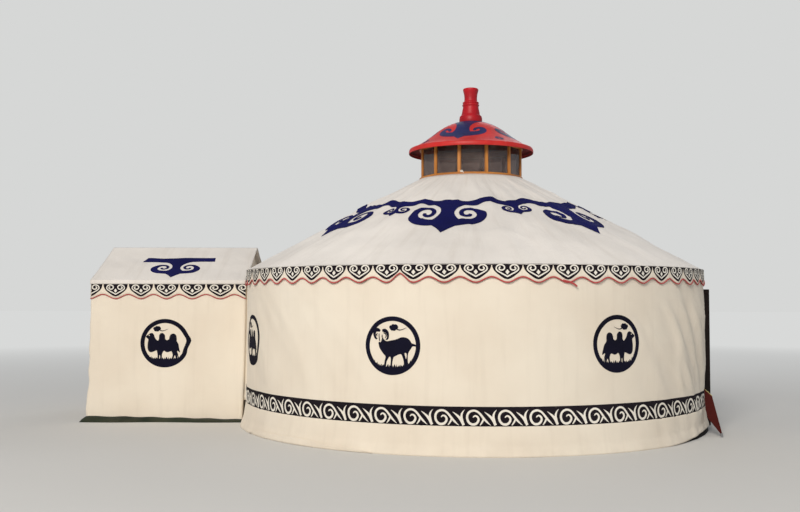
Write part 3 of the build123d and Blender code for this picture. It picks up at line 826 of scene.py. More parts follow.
@dataclass(frozen=True)
class SkirtSurface(TurnedSurface):
    """Loose canvas round the foot, which spreads from a crease; its hem is drawn up beside the doorway."""

    points: tuple[Point, ...]
    raised_from: float = 0.69
    raised_over: float = 0.44
    raised_until: float = 1.6
    raised: float = 0.062

    def profile(self, up: float) -> Point:
        """Radius, height and normal up the skirt."""
        return along_profile(self.points, up)

    def fold(self, angle: float, up: float) -> float:
        """Soft folds that grow towards the ground, and the wall's slack at the top."""
        loose = 1.0 - min(1.0, up / length_of(self.points))
        slack = 1.0 + 2.6 * hill(angle, 1.15, 0.35) + 1.0 * hill(angle, -1.0, 0.25)
        waves = 0.008 * ripple(angle, up, 11.0, 2.0, 5.0) + 0.003 * ripple(angle, up, 34.0, 3.0, 9.0)
        return loose * slack * waves + (1.0 - loose) * wall_fold(angle, self.points[-1][1])

    def place(self, turn: float, along: float, up: float, lift: float) -> Vector:
        """Point over the skirt, which moves inwards by half of what the hem is drawn up."""
        spot = super().place(turn, along, up, lift)
        angle = turn + along / self.points[0][0]
        share = clamp((angle - self.raised_from) / self.raised_over)
        rise = self.raised * share * share * (3.0 - 2.0 * share) * (angle < self.raised_until)
        rise *= max(0.0, 1.0 - up / 0.26)
        spot.z += rise
        spot.xy *= 1.0 - 0.5 * rise / WALL_RADIUS
        return spot


@dataclass(frozen=True)
class HangingSurface(TurnedSurface):
    """A band that hangs free from the eave."""

    radius: float
    top: float
    flutter: float

    def profile(self, up: float) -> Point:
        """Radius, height and normal; up is negative below the eave."""
        return self.radius, self.top + up, 1.0, 0.0

    def fold(self, angle: float, up: float) -> float:
        """Flutter that grows towards the lower edge."""
        loose = clamp(-up / 0.2) ** 1.3
        return self.flutter * loose * (0.55 + ripple(angle, up, 24.0, 2.0, 1.7))


@dataclass(frozen=True)
class RoofSurface(TurnedSurface):
    """The roof: a cone that dips a little between its poles, with creases from the top."""

    depth: float = 0.0

    def profile(self, up: float) -> Point:
        """Radius, height and normal; up is the way up the slope, or minus the way down the turned hem."""
        cos, sin = math.cos(ROOF_SLOPE), math.sin(ROOF_SLOPE)
        height = EAVE_HEIGHT + ROOF_COVER / cos + max(up, 0.0) * sin
        if up < 0.0:
            return WALL_RADIUS + 0.0095, height + up, 1.0, 0.0
        return WALL_RADIUS - up * cos - self.depth * sin, height - self.depth * cos, sin, cos

    def fold(self, angle: float, up: float) -> float:
        """Dip between poles, creases that run down from the top, and soft slack."""
        if up < 0.0:
            return 0.0
        reach = min(1.0, up / ROOF_TOP_S)
        radius = WALL_RADIUS - reach * (WALL_RADIUS - ROOF_TOP_RADIUS)
        dip = 0.6 * radius * (1 - math.cos(POLE_STEP / 2)) * math.cos(math.pi * angle / POLE_STEP) ** 2
        lean = angle + 0.25 * reach
        creases = ripple(lean, up, 9.0, 0.8, 2.2) * (0.008 + 0.016 * reach)
        across = ripple(angle + 0.5 * reach, up, 7.0, 2.6, 4.9) * 0.020 * math.sin(math.pi * reach)
        fine = ripple(angle - 0.12 * reach, up, 26.0, 1.4, 6.6) * 0.005
        ridge = creased(ripple(angle + 0.04 * up, up, 7.0, 0.5, 9.3), 5.0)
        side = hill(angle, 1.12, 0.24) * (0.014 * ridge + 0.018 * ripple(angle, up, 22.0, 0.3, 7.1))
        side += 0.012 * creased(ripple(angle + 0.16 * up, up, 5.5, 1.1, 3.3), 5.0)
        depth = creases + across + fine + (side + 0.006) * math.sin(math.pi * reach)
        depth -= dip * math.cos(ROOF_SLOPE)
        return softened(depth, -0.006) * min(1.0, (1.0 - reach) * 12.0)


@dataclass(frozen=True)
class DomeSurface(TurnedSurface):
    """The lantern's cap; up is minus the distance from its top."""

    points: tuple[Point, ...]

    def profile(self, up: float) -> Point:
        """Radius, height and normal at a distance from the top."""
        radius, height, out, rise = along_profile(self.points, -up)
        return radius, height, -out, -rise


def mark_edges(shape: BMesh, angle: float) -> None:
    """Smooths faces, and keeps edges sharper than an angle in degrees."""
    limit = math.radians(angle)
    for face in shape.faces:
        face.smooth = True
    for edge in shape.edges:
        edge.smooth = len(edge.link_faces) != 2 or edge.calc_face_angle(0.0) < limit


def piece(name: str, shape: BMesh, finish: Finish, nodes: Sequence[str] = (), wall: float = 0.0,
          sharp: float = 40.0) -> bpy.types.Object:
    """Makes a shape a piece of the yurt.

    Args:
        name: Name of the piece.
        shape: Its shape, in the row frame; it is freed.
        finish: Its finish.
        nodes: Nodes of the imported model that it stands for.
        wall: Thickness given inwards to an open sheet.
        sharp: Angle in degrees past which an edge stays sharp.

    Returns:
        The object.
    """
    if shape.loops.layers.uv.get(FLAT_MAP) is None:
        set_flat_map(shape)
    mark_edges(shape, sharp)
    mesh = bpy.data.meshes.new(name)
    shape.to_mesh(mesh)
    shape.free()
    made = bpy.data.objects.new(name, mesh)
    bpy.context.scene.collection.objects.link(made)
    mesh.materials.append(finish.material())
    if wall:
        solid = made.modifiers.new("wall", "SOLIDIFY")
        solid.thickness, solid.offset = wall, -1.0
    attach(made, "root")
    if nodes:
        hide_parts(*nodes)
    log.info("piece %s: %d faces", name, len(mesh.polygons))
    return made


def dress(nodes: Iterable[str], finish: Finish) -> None:
    """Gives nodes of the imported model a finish."""
    for name in nodes:
        node = frame["nodes"][name]
        if not node.material_slots:
            node.data.materials.append(None)
        for slot in node.material_slots:
            slot.material = finish.material()


def turned(points: Sequence[Point], steps: int = 96, closed: bool = False) -> BMesh:
    """Turned shape about the yurt's axis.

    Args:
        points: (radius, height) points of the profile, seen with the outside on its right.
        steps: Steps of the full turn.
        closed: Whether the profile comes back to its start.

    Returns:
        The shape.
    """
    shape = bmesh.new()
    verts = [shape.verts.new((0.0, -radius, height)) for radius, height in points]
    pairs = list(zip(verts, verts[1:])) + ([(verts[-1], verts[0])] if closed else [])
    edges = [shape.edges.new(pair) for pair in pairs]
    bmesh.ops.spin(shape, geom=verts + edges, cent=(0.0, 0.0, 0.0), axis=(0.0, 0.0, 1.0),
                   angle=2 * math.pi, steps=steps, use_merge=True)
    bmesh.ops.recalc_face_normals(sewn(shape), faces=shape.faces[:])
    layer = shape.loops.layers.uv.new(FLAT_MAP)
    for face in shape.faces:
        middle = face.calc_center_median()
        start = turn_of(middle.x, middle.y)
        for loop in face.loops:
            x, y, z = loop.vert.co
            angle = start + (turn_of(x, y) - start + math.pi) % (2 * math.pi) - math.pi
            loop[layer].uv = (angle * math.hypot(middle.x, middle.y), z + math.hypot(x, y))
    return shape


def bar(start: Point, end: Point, width: float, depth: float, out: Point = (0.0, 0.0, 1.0),
        bevel: float = 0.003) -> BMesh:
    """Straight bar with bevelled edges and grain along it.

    Args:
        start: Middle of one end.
        end: Middle of the other end.
        width: Size across, square to out.
        depth: Size along out.
        out: Direction that the depth is measured in.
        bevel: Width of the bevels.

    Returns:
        The shape in the row frame.
    """
    first, last = Vector(start), Vector(end)
    run = last - first
    long = run.normalized()
    side = Vector(out).cross(long).normalized()
    face = long.cross(side)
    shape = bmesh.new()
    bmesh.ops.create_cube(shape, size=1.0)
    bmesh.ops.scale(shape, verts=shape.verts[:], vec=(run.length, width, depth))
    if bevel:
        bmesh.ops.bevel(shape, geom=shape.edges[:], offset=bevel, offset_type="OFFSET", segments=1,
                        profile=0.5, affect="EDGES", material=-1)
    layer = shape.loops.layers.uv.new(FLAT_MAP)
    shift = (first.x * 3.1 + first.y * 1.7 + first.z * 2.3) % 10.0
    for item in shape.faces:
        for loop in item.loops:
            x, y, z = loop.vert.co
            loop[layer].uv = (x + shift, y + z + shift)
    turn = Matrix((long, side, face)).transposed().to_4x4()
    bmesh.ops.transform(shape, matrix=Matrix.Translation((first + last) / 2) @ turn, verts=shape.verts[:])
    return shape


@dataclass(frozen=True)
class Heart:
    """One pendant of the hanging bands: a dark heart with a white scrolled ribbon."""

    pitch: float = 0.3307
    crest: float = 0.138
    trough: float = 0.196

    def edge(self, along: float, left_crest: float, right_crest: float) -> float:
        """Depth of the scalloped edge at a distance from the heart's middle."""
        crest = left_crest if along < 0 else right_crest
        return crest + (self.trough - crest) * (0.5 + 0.5 * math.cos(2 * math.pi * along / self.pitch))

    def pendant(self) -> Line:
        """Outline of the dark heart."""
        half = ((0.0, -0.166), (0.030, -0.158), (0.062, -0.139), (0.102, -0.109), (0.137, -0.076),
                (0.155, -0.042), (0.160, -0.014), (0.160, -0.002))
        right = smooth_line(half, 3)
        return right + flipped(right)[:-1]

    def ribbon(self) -> Line:
        """Outline of the white ribbon, from one scroll through the tip to the other."""
        half = [(0.0, -0.136, 0.0145), (0.052, -0.107, 0.014), (0.098, -0.080, 0.014)]
        for index in range(12):
            share = index / 11
            angle = math.radians(-15 + 440 * share)
            reach = 0.053 - 0.038 * share
            half.append((0.066 + reach * math.cos(angle), -0.047 + 0.78 * reach * math.sin(angle), 0.0145))
        tip = half[0]
        right, left = smooth_line(half, 3), smooth_line(flipped(half), 3)
        return stroke(left[:-1] + [tip] + right[1:], 1)

    def diamond(self) -> Line:
        """Outline of the white diamond."""
        return [(0.0, -0.115), (0.022, -0.088), (0.0, -0.061), (-0.022, -0.088)]


@dataclass(frozen=True)
class Scroll:
    """One repeat of the lower band: a scroll with a tail, a foot and a forked stroke."""

    pitch: float = 2 * math.pi * WALL_RADIUS / 57

    def strokes(self) -> list[list[Line]]:
        """Outlines of its white strokes, a group each."""
        ring = [(0.185, -0.081, 0.003), (0.167, -0.067, 0.010), (0.144, -0.046, 0.018),
                (0.118, -0.019, 0.022), (0.095, 0.010, 0.022), (0.069, 0.041, 0.021),
                (0.040, 0.063, 0.021), (0.005, 0.071, 0.022), (-0.033, 0.059, 0.023),
                (-0.056, 0.031, 0.023), (-0.061, -0.006, 0.024), (-0.049, -0.042, 0.024),
                (-0.025, -0.066, 0.024), (0.001, -0.072, 0.025), (0.030, -0.065, 0.025),
                (0.051, -0.042, 0.024), (0.057, -0.016, 0.022), (0.045, 0.007, 0.020),
                (0.026, 0.017, 0.017), (0.009, 0.011, 0.014), (0.000, -0.001, 0.009)]
        foot = [(0.108, -0.010, 0.012), (0.101, -0.036, 0.018), (0.087, -0.060, 0.015),
                (0.071, -0.080, 0.007)]
        fork = [(0.118, 0.057, 0.003), (0.144, 0.038, 0.013), (0.180, 0.007, 0.024), (0.206, -0.024, 0.029),
                (0.222, -0.055, 0.028), (0.234, -0.080, 0.028)]
        horn = [(0.245, 0.080, 0.002), (0.227, 0.059, 0.012), (0.214, 0.033, 0.020), (0.211, 0.002, 0.024),
                (0.217, -0.029, 0.026), (0.228, -0.060, 0.020)]
        return [[stroke(line, 3)] for line in (ring, foot, fork, horn)]


@dataclass(frozen=True)
class Volutes:
    """Pointed motif with two volutes under a neck; its tip is at 0."""

    wide: float = 1.0
    tall: float = 1.0
    neck: tuple[Point, ...] = ((0.19, 0.30), (0.125, 0.40), (0.085, 0.50), (0.087, 0.60), (0.12, 0.70),
                               (0.20, 0.79), (0.30, 0.84))
    volute: tuple[Point, ...] = (
        (0.06, 0.275, 0.17), (0.20, 0.282, 0.155), (0.32, 0.312, 0.150), (0.392, 0.395, 0.135),
        (0.402, 0.50, 0.115), (0.358, 0.60, 0.090), (0.285, 0.655, 0.068), (0.205, 0.635, 0.058),
        (0.163, 0.565, 0.054), (0.175, 0.485, 0.054), (0.225, 0.450, 0.055), (0.265, 0.475, 0.052),
        (0.270, 0.520, 0.036))

    def outlines(self) -> list[list[Line]]:
        """Outlines of its body and of its volutes, a group each."""
        right = [(0.0, 0.0), (0.07, 0.115)] + smooth_line([(0.14, 0.20), *self.neck], 4)
        lines = (right + flipped(right)[:-1], stroke(self.volute, 4), stroke(flipped(self.volute), 4))
        return [[scaled(line, self.wide, self.tall)] for line in lines]


CAP_NECK = ((0.21, 0.30), (0.18, 0.38), (0.145, 0.48), (0.130, 0.60), (0.138, 0.72), (0.175, 0.86),
            (0.235, 0.98), (0.31, 1.07))
CAP_VOLUTE = ((0.05, 0.27, 0.24), (0.18, 0.285, 0.235), (0.305, 0.325, 0.205), (0.385, 0.405, 0.165),
              (0.392, 0.505, 0.125), (0.340, 0.580, 0.100), (0.272, 0.570, 0.088), (0.238, 0.505, 0.070),
              (0.246, 0.455, 0.045))


@dataclass(frozen=True)
class Figure:
    """An animal's silhouette, in thousandths of a medallion whose radius is 300."""

    outline: tuple[Point, ...]
    gap: tuple[Point, ...]
    strokes: tuple[tuple[Point, ...], ...]
    cloud: Point
    sag: float


class Animal(Enum):
    """Animals on the round medallions, as seen facing left."""

    RAM = Figure(
        outline=(
            (-154, 29), (-151, 5), (-141, -26), (-124, -52), (-94, -89), (-74, -111), (-82, -152),
            (-89, -195), (-90, -232), (-69, -232), (-67, -195), (-62, -164), (-46, -132), (-28, -112),
            (-17, -128), (-17, -168), (-22, -230), (-5, -230), (0, -176), (8, -136), (18, -114),
            (44, -101), (78, -86), (101, -88), (118, -128), (128, -168), (128, -216), (160, -214),
            (170, -168), (168, -128), (170, -90), (180, -60), (201, -30), (216, -6), (241, -4),
            (268, -10), (262, 6), (233, 20), (208, 28), (198, 45), (181, 66), (156, 81), (125, 88),
            (93, 85), (57, 70), (18, 58), (-21, 52), (-46, 46), (-72, 48), (-94, 66), (-108, 84),
            (-116, 66), (-122, 44), (-132, 34), (-145, 38)),
        gap=((134, -76), (142, -110), (150, -136), (157, -108), (156, -80), (146, -70)),
        strokes=(
            ((-134, 148, 20), (-156, 159, 36), (-185, 159, 42), (-199, 132, 32), (-196, 98, 26),
             (-182, 72, 20), (-168, 74, 10)),
            ((-165, 123, 8), (-178, 111, 10), (-168, 96, 8)),
            ((-108, 150, 24), (-83, 155, 36), (-55, 135, 30), (-46, 103, 22), (-51, 72, 18), (-70, 64, 10)),
            ((-94, 131, 8), (-72, 120, 10), (-66, 96, 9), (-78, 80, 6)),
            ((-147, 123, 6), (-146, 84, 9), (-141, 46, 10)),
            ((-111, 111, 6), (-112, 84, 12))),
        cloud=(16, 187), sag=0.038)
    CAMEL = Figure(
        outline=(
            (-167, 126), (-193, 114), (-225, 90), (-233, 76), (-211, 58), (-202, 44), (-207, 14),
            (-211, -26), (-207, -74), (-190, -104), (-162, -112), (-128, -100), (-99, -90), (-90, -122),
            (-86, -154), (-86, -206), (-68, -206), (-66, -158), (-60, -146), (-54, -160), (-54, -206),
            (-36, -206), (-34, -154), (-28, -122), (-8, -94), (16, -108), (42, -111), (73, -100),
            (88, -106), (98, -138), (96, -162), (84, -206), (104, -206), (113, -174), (125, -150),
            (134, -174), (136, -206), (156, -206), (157, -170), (165, -138), (155, -110), (160, -94),
            (186, -112), (190, -98), (180, -58), (165, -10), (141, 26), (141, 54), (137, 94), (120, 114),
            (96, 118), (71, 106), (57, 78), (52, 50), (26, 36), (5, 54), (2, 94), (-16, 119), (-37, 126),
            (-60, 114), (-70, 86), (-71, 54), (-86, 30), (-110, 50), (-127, 78), (-134, 102),
            (-146, 119)),
        gap=((-201, 99), (-191, 104), (-184, 96), (-193, 89)),
        strokes=(),
        cloud=(-96, 178), sag=0.016)


CLOUD = ((-48, 2), (-38, 20), (-24, 22), (-12, 34), (10, 30), (22, 33), (38, 22), (48, 4), (40, -14),
         (24, -24), (12, -34), (-10, -32), (-28, -30), (-38, -16))
CLOUD_TAIL = ((30, -14, 12), (60, -26, 9), (95, -20, 6), (135, -2, 3))


@dataclass(frozen=True)
class Medallion:
    """Round applique: a ring, a mound with grass, a cloud and an animal."""

    animal: Animal
    facing_right: bool = False
    radius: float = 0.310
    ring: float = 0.0485
    blades: int = 34

    def grass(self) -> Line:
        """Outline of the mound with blades of grass on it."""
        reach = self.radius - self.ring / 2
        low = math.radians(222), math.radians(318)
        under = [low[0] + (low[1] - low[0]) * i / 24 for i in range(25)]
        line = [(reach * math.cos(t), reach * math.sin(t)) for t in under]
        start, end = line[-1], line[0]
        for index in range(1, self.blades):
            share = index / self.blades
            x = start[0] + (end[0] - start[0]) * share
            ground = start[1] - self.animal.value.sag * math.sin(math.pi * share)
            tall = (0.030 + 0.014 * math.sin(index * 2.7)) * (index % 2) * (0.3 + abs(math.cos(share * 9)))
            line.append((x + 0.005 * math.sin(index * 1.9), ground + tall))
        return line

    def outlines(self) -> list[list[Line]]:
        """Groups of outlines, one group per cut piece."""
        size = self.radius / 300
        figure = self.animal.value
        sky = [point * size for point in figure.cloud]
        body = [smooth_line(scaled(line, size, size), 3, closed=True)
                for line in (figure.outline, figure.gap)]
        groups = [[disc(self.radius, 64), disc(self.radius - self.ring, 56)], [self.grass()], body]
        groups += [[stroke(scaled(line, size, size), 4)] for line in figure.strokes]
        groups.append([smooth_line(scaled(CLOUD, size, size, *sky), 3, closed=True)])
        groups.append([stroke(scaled(CLOUD_TAIL, size, size, *sky), 4)])
        if self.facing_right:
            groups = [[flipped(line) for line in group] for group in groups]
        return groups

    def shape(self) -> BMesh:
        """Flat shape of the whole medallion."""
        return layered(self.outlines(), (0.05, 0.08), thickness=0.002, rise=0.0002)


@dataclass
class RoundWall:
    """Canvas, felt, lower band, medallions and skirt of the round wall."""

    canvas_wall: float = 0.003
    felt_wall: float = 0.014
    felt_inset: float = 0.008
    band_low: float = 0.300
    band_high: float = 0.511
    first_scroll: float = -67.08
    medallion_height: float = 1.140
    medallion_rise: float = 0.022
    first_medallion: float = -20.4
    medallion_step: float = 47.6
    skirt: tuple[Point, ...] = ((3.070, 0.0), (3.030, 0.115), (3.003, 0.310))
    hem_fold: Point = (-1.12, -0.42)
    hem_fold_height: float = 0.068
    # Angles, radius and height of the near-black strip that paints the shade under the raised hem.
    shade_strip_turns: Point = (0.80, 1.38)
    shade_strip_radius: float = 3.034
    shade_strip_height: float = 0.055
    nodes: tuple[str, ...] = (
        *(f"wall_panel_{side}_{number}" for side in ("front", "back") for number in (1, 2, 3)),
        "wall_over_door", "wall_over_passage")

    def openings(self, radius: float) -> list[tuple[Point, Point]]:
        """Corners of the doorway and of the passage on a flat wall cloth."""
        return [((turns[0] * radius, -1.0), (turns[1] * radius, top))
                for turns, top in ((DOOR_TURNS, DOOR_TOP), (PASSAGE_TURNS, PASSAGE_TOP))]

    def runs(self, radius: float = WALL_RADIUS) -> list[Point]:
        """Stretches of the wall between the doorway and the passage, as distances round."""
        return [(PASSAGE_TURNS[1] * radius, DOOR_TURNS[0] * radius),
                (DOOR_TURNS[1] * radius, (PASSAGE_TURNS[0] + FULL_TURN) * radius)]

    def cloth(self, name: str, surface: WallSurface, low: float, high: float, finish: Finish,
              wall: float) -> None:
        """One layer of the wall, all round, with its openings.

        Args:
            name: Name of the piece.
            surface: Surface that it lies on.
            low: Height of its foot.
            high: Height of its head.
            finish: Its finish.
            wall: Its thickness.
        """
        radius = WALL_RADIUS - surface.inset
        width = FULL_TURN * radius
        shape = grid((-width / 2, low), (width / 2, high), (0.045, 0.05))
        area = width * (high - low)
        for corners, ((left, _), (right, top)) in zip(self.openings(radius), self.openings(WALL_RADIUS)):
            knock_out(shape, *corners)
            area -= (right - left) * top
        made = piece(name, wrapped(shape, surface, merge=True), finish, self.nodes, wall)

    def lower_band(self) -> None:
        """Dark band with white scrolls."""
        surface, scroll = WallSurface(), Scroll()
        low, high = self.band_low, self.band_high
        ground = joined(grid((start, low), (end, high), (0.05, 0.05)) for start, end in self.runs())
        wrapped(ground, surface)
        for vert in ground.verts:
            vert.co.xy *= 1 + 0.003 / WALL_RADIUS
        band = piece("lower_band", ground, CHARCOAL, wall=0.0025)
        flat = layered(scroll.strokes(), (0.05, 0.0), 0.0048, rise=0.0002)
        middle = (low + high) / 2 - 0.004
        first = math.radians(self.first_scroll) * WALL_RADIUS
        laid = []
        for start, end in self.runs():
            lowest = math.floor((start - first) / scroll.pitch) - 1
            highest = math.ceil((end - first) / scroll.pitch)
            copies = repeated(flat, [(first + scroll.pitch * i, middle) for i in range(lowest, highest + 1)])
            laid.append(trimmed(copies, start + 0.01, end - 0.01))
        flat.free()
        scrolls = piece("lower_band_scrolls", wrapped(joined(laid), surface), RIBBON)

    def length(self) -> float:
        """Length of the wall outside the doorway and the passage."""
        return sum(end - start for start, end in self.runs())

    def medallions(self) -> None:
        """Medallions all round, where the tent and the door leave room."""
        kinds = {-1: (Animal.CAMEL, False), 0: (Animal.RAM, False), 1: (Animal.CAMEL, True),
                 3: (Animal.RAM, True), 4: (Animal.CAMEL, False), 5: (Animal.RAM, False)}
        shapes = []
        for index, kind in kinds.items():
            turn = math.radians(self.first_medallion + self.medallion_step * index)
            height = self.medallion_height + self.medallion_rise * math.sin(turn)
            shapes.append(wrapped(moved(Medallion(*kind).shape(), 0.0, height, 0.0003), WallSurface(), turn))
        piece("wall_medallions", joined(shapes), INK)

    def skirting(self) -> None:
        """Loose skirt, with a stretch of its hem folded up, and a near-black strip on the ground under its
        raised hem by the door, which paints the shade there.
        """
        surface = SkirtSurface(self.skirt)
        foot, tall = self.skirt[0][0], length_of(self.skirt)
        flat = joined(grid((start, 0.0), (end, tall), (0.04, 0.0215)) for start, end in self.runs(foot))
        set_flat_map(flat)
        flat = spun(flat, surface, scale=foot)
        made = piece("skirt_canvas", flat, CREAM, ("skirt_front", "skirt_back"), wall=0.003)
        start, end = self.hem_fold
        hem = grid((start, 0.0), (end, 1.0), (0.02, 0.25))
        for vert in hem.verts:
            turn, share, _ = vert.co
            waves = 0.007 * math.sin(23.0 * turn) + 0.004 * math.sin(61.0 * turn)
            high = self.hem_fold_height - 0.075 * (turn - (start + end) / 2) + waves
            high *= clamp(math.sin(math.pi * (turn - start) / (end - start))) ** 0.5 + 0.02
            vert.co = (turn, share * high, 0.004 + 0.020 * share)
        made = piece("skirt_hem_fold", spun(hem, surface), CREAM, wall=0.003)
        # A near-black strip on the ground under the raised hem, which paints the shade beneath it.
        start, end = self.shade_strip_turns
        edge = grid((start, 0.0), (end, self.shade_strip_height), (0.02, 0.018))
        for vert in edge.verts:
            turn, up, _ = vert.co
            vert.co = outwards(turn) * (self.shade_strip_radius - 0.2 * up) + UP * up
        made = piece("painted_shade_by_door", edge, SHADE_STRIP_CLOTH, wall=0.002)

    def build(self) -> None:
        """Builds the round wall's cloths."""
        self.cloth("wall_canvas", WallSurface(), 0.012, 1.980, CREAM, self.canvas_wall)
        self.cloth("wall_felt", WallSurface(self.felt_inset), 0.014, 1.974, FELT, self.felt_wall)
        self.lower_band()
        self.medallions()
        self.skirting()


@dataclass
class Valance:
    """Scalloped band under the eave, with hearts and red piping."""

    radius: float = 3.005
    top: float = 1.998
    flutter: float = 0.017
    overlap_crest: float = 0.096
    heart_step: float = 6.273
    first_right: float = -15.86
    first_left: float = -21.51
    back_hearts: int = 32
    cells: int = 14
    loose_turn: float = 15.4

    def turns(self) -> list[float]:
        """Angles of the hearts, which close up at the overlap in front and are eased at the back."""
        step = math.radians(self.heart_step)
        right = [math.radians(self.first_right) + step * i for i in range(15)]
        left = [math.radians(self.first_left) - step * i for i in range(11)]
        open_turn = FULL_TURN + left[-1] - right[-1]
        back = [right[-1] + open_turn * i / self.back_hearts for i in range(1, self.back_hearts)]
        return right + back + [turn + FULL_TURN for turn in reversed(left)]

    def build(self) -> None:
        """Builds the band, its hearts and its piping."""
        surface = HangingSurface(self.radius, self.top, self.flutter)
        heart, turns = Heart(), self.turns()
        around = [turns[-1] - FULL_TURN, *turns, turns[0] + FULL_TURN]
        cells, edge = [], []
        for index, (before, turn, after) in enumerate(zip(around, turns, around[2:])):
            left, right = (before - turn) / 2 * self.radius, (after - turn) / 2 * self.radius
            crests = [self.overlap_crest if index == end else heart.crest for end in (0, len(turns) - 1)]
            cell = grid((left, -1.0), (right, 0.0), ((right - left) / self.cells, 0.17))
            for vert in cell.verts:
                vert.co.y *= heart.edge(vert.co.x, *crests)
            cells.append(wrapped(cell, surface, turn))
            for step in range(self.cells):
                along = left + (right - left) * step / self.cells
                edge.append(surface.place(turn, along, -heart.edge(along, *crests), -0.001))
        band = piece("valance_cloth", sewn(joined(cells), 20.0), CREAM, ("valance",), wall=0.0025)
        dark = layered([[heart.pendant()]], (0.05, 0.06), 0.0003, 0.0014)
        light = layered([[heart.ribbon()], [heart.diamond()]], (0.05, 0.06), 0.0014, 0.0012, 0.0)
        for name, flat, finish in (("valance_hearts", dark, CHARCOAL), ("valance_ribbons", light, RIBBON)):
            laid = joined(wrapped(flat.copy(), surface, turn) for turn in turns)
            flat.free()
            piece(name, laid, finish)
        heading = grid((-math.pi, -0.016), (math.pi, 0.0), (math.radians(1.0), 0.008))
        set_flat_map(heading)
        heading = sewn(spun(heading, surface, 0.0018), 10.0)
        piece("valance_heading", heading, CHARCOAL, wall=0.0015)
        loose_end = [surface.place(math.radians(self.loose_turn), x, y, 0.006 + 0.1 * x)
                     for x, y in ((-0.05, -0.172), (0.02, -0.190), (0.07, -0.212), (0.10, -0.236))]
        pipes = joined([tube(edge, 0.0075, closed=True), tube(loose_end, 0.0095)])
        piece("valance_piping", pipes, PIPING)


@dataclass
class Roof:
    """Roof canvas and felt, with the navy ornament."""

    gores: tuple[str, ...] = tuple(f"roof_gore_{i}" for i in range(1, 7))
    axes: tuple[float, ...] = (-58.9, -12.7, 36.9, 90.0, 142.5, 195.0, 248.0)
    small_axes: tuple[float, ...] = (-35.6, 13.9, 63.5, 116.0, 168.5, 221.5, 274.5)
    sizes: tuple[float, ...] = (0.922, 1.0, 0.95, 1.0, 1.0, 1.0, 1.0)
    tip: float = 0.771
    small_tip: float = 1.275
    border_radius: float = 1.5

    def cover(self, name: str, surface: RoofSurface, low: float, high: float, finish: Finish,
              wall: float) -> None:
        """One layer of the roof, all round.

        Args:
            name: Name of the piece.
            surface: Surface that it lies on.
            low: Start of it up the slope; what is below 0 is turned down over the eave.
            high: End of it up the slope.
            finish: Its finish.
            wall: Its thickness.
        """
        mean = (WALL_RADIUS + ROOF_TOP_RADIUS) / 2
        half, cell = math.pi * mean, math.radians(1.0) * mean
        shape = grid((-half, max(low, 0.0)), (half, high), (cell, 0.055))
        if low < 0.0:
            hem = grid((-half, low), (half, 0.0), (cell, -low / 2))
            for vert in hem.verts:
                vert.co.y *= 0.55 + 0.9 * abs(ripple(vert.co.x / mean, 0.0, 5.0, 0.0, 7.7))
            shape = joined([hem, shape])
        set_flat_map(shape)
        made = piece(name, sewn(spun(shape, surface, scale=mean), 10.0), finish, self.gores, wall)

    def border(self, surface: RoofSurface) -> BMesh:
        """Navy band with a waved edge, all round."""
        axes = [math.radians(a) for a in self.axes]
        around = [axes[-1] - FULL_TURN, *axes, axes[0] + FULL_TURN]
        cells = []
        for before, axis, after in zip(around, axes, around[2:]):
            cell = grid((-1.0, 0.0), (1.0, 1.0), (2.0 / 56, 0.5))
            for vert in cell.verts:
                place, share, _ = vert.co
                raised = hill(abs(place), 0.62, 0.17)
                top = 1.697 + 0.080 * raised + 0.010 * math.sin(abs(place) * 19.0 + 2.0 * axis)
                low = 1.550 + 0.075 * raised + 0.008 * math.sin(abs(place) * 23.0 + 1.0)
                turn = axis + place * (after - axis if place > 0 else axis - before) / 2
                vert.co = (turn * self.border_radius, low + (top - low) * share, 0.0060)
            set_flat_map(cell)
            cells.append(spun(cell, surface, scale=self.border_radius))
        whole = sewn(joined(cells), 20.0)
        bmesh.ops.solidify(whole, geom=whole.faces[:], thickness=0.0025)
        return whole

    def build(self) -> None:
        """Builds the roof's cloths and ornament."""
        surface = RoofSurface()
        self.cover("roof_canvas", surface, -0.012, ROOF_TOP_S - 0.003, WHITE, 0.003)
        self.cover("roof_felt", RoofSurface(depth=0.0035), 0.004, ROOF_TOP_S - 0.004, FELT, 0.011)
        parts = [self.border(surface)]
        motifs = [(Volutes(size, size), turn, self.tip + 0.83 * (1.0 - size), 0.0040)
                  for turn, size in zip(self.axes, self.sizes)]
        motifs += [(Volutes(0.40, 0.36), turn, self.small_tip, 0.0042) for turn in self.small_axes]
        for volutes, turn, tip, lift in motifs:
            flat = moved(layered(volutes.outlines(), (0.05, 0.08), lift), 0.0, tip)
            parts.append(wrapped(flat, surface, math.radians(turn)))
        piece("roof_ornament", joined(parts), NAVY)


def arc(centre: Point, radius: float, start: float, end: float, steps: int) -> Line:
    """Points on an arc, by angles in degrees from straight up."""
    turns = [math.radians(start + (end - start) * i / steps) for i in range(steps + 1)]
    return [(centre[0] + radius * math.sin(t), centre[1] + radius * math.cos(t)) for t in turns]


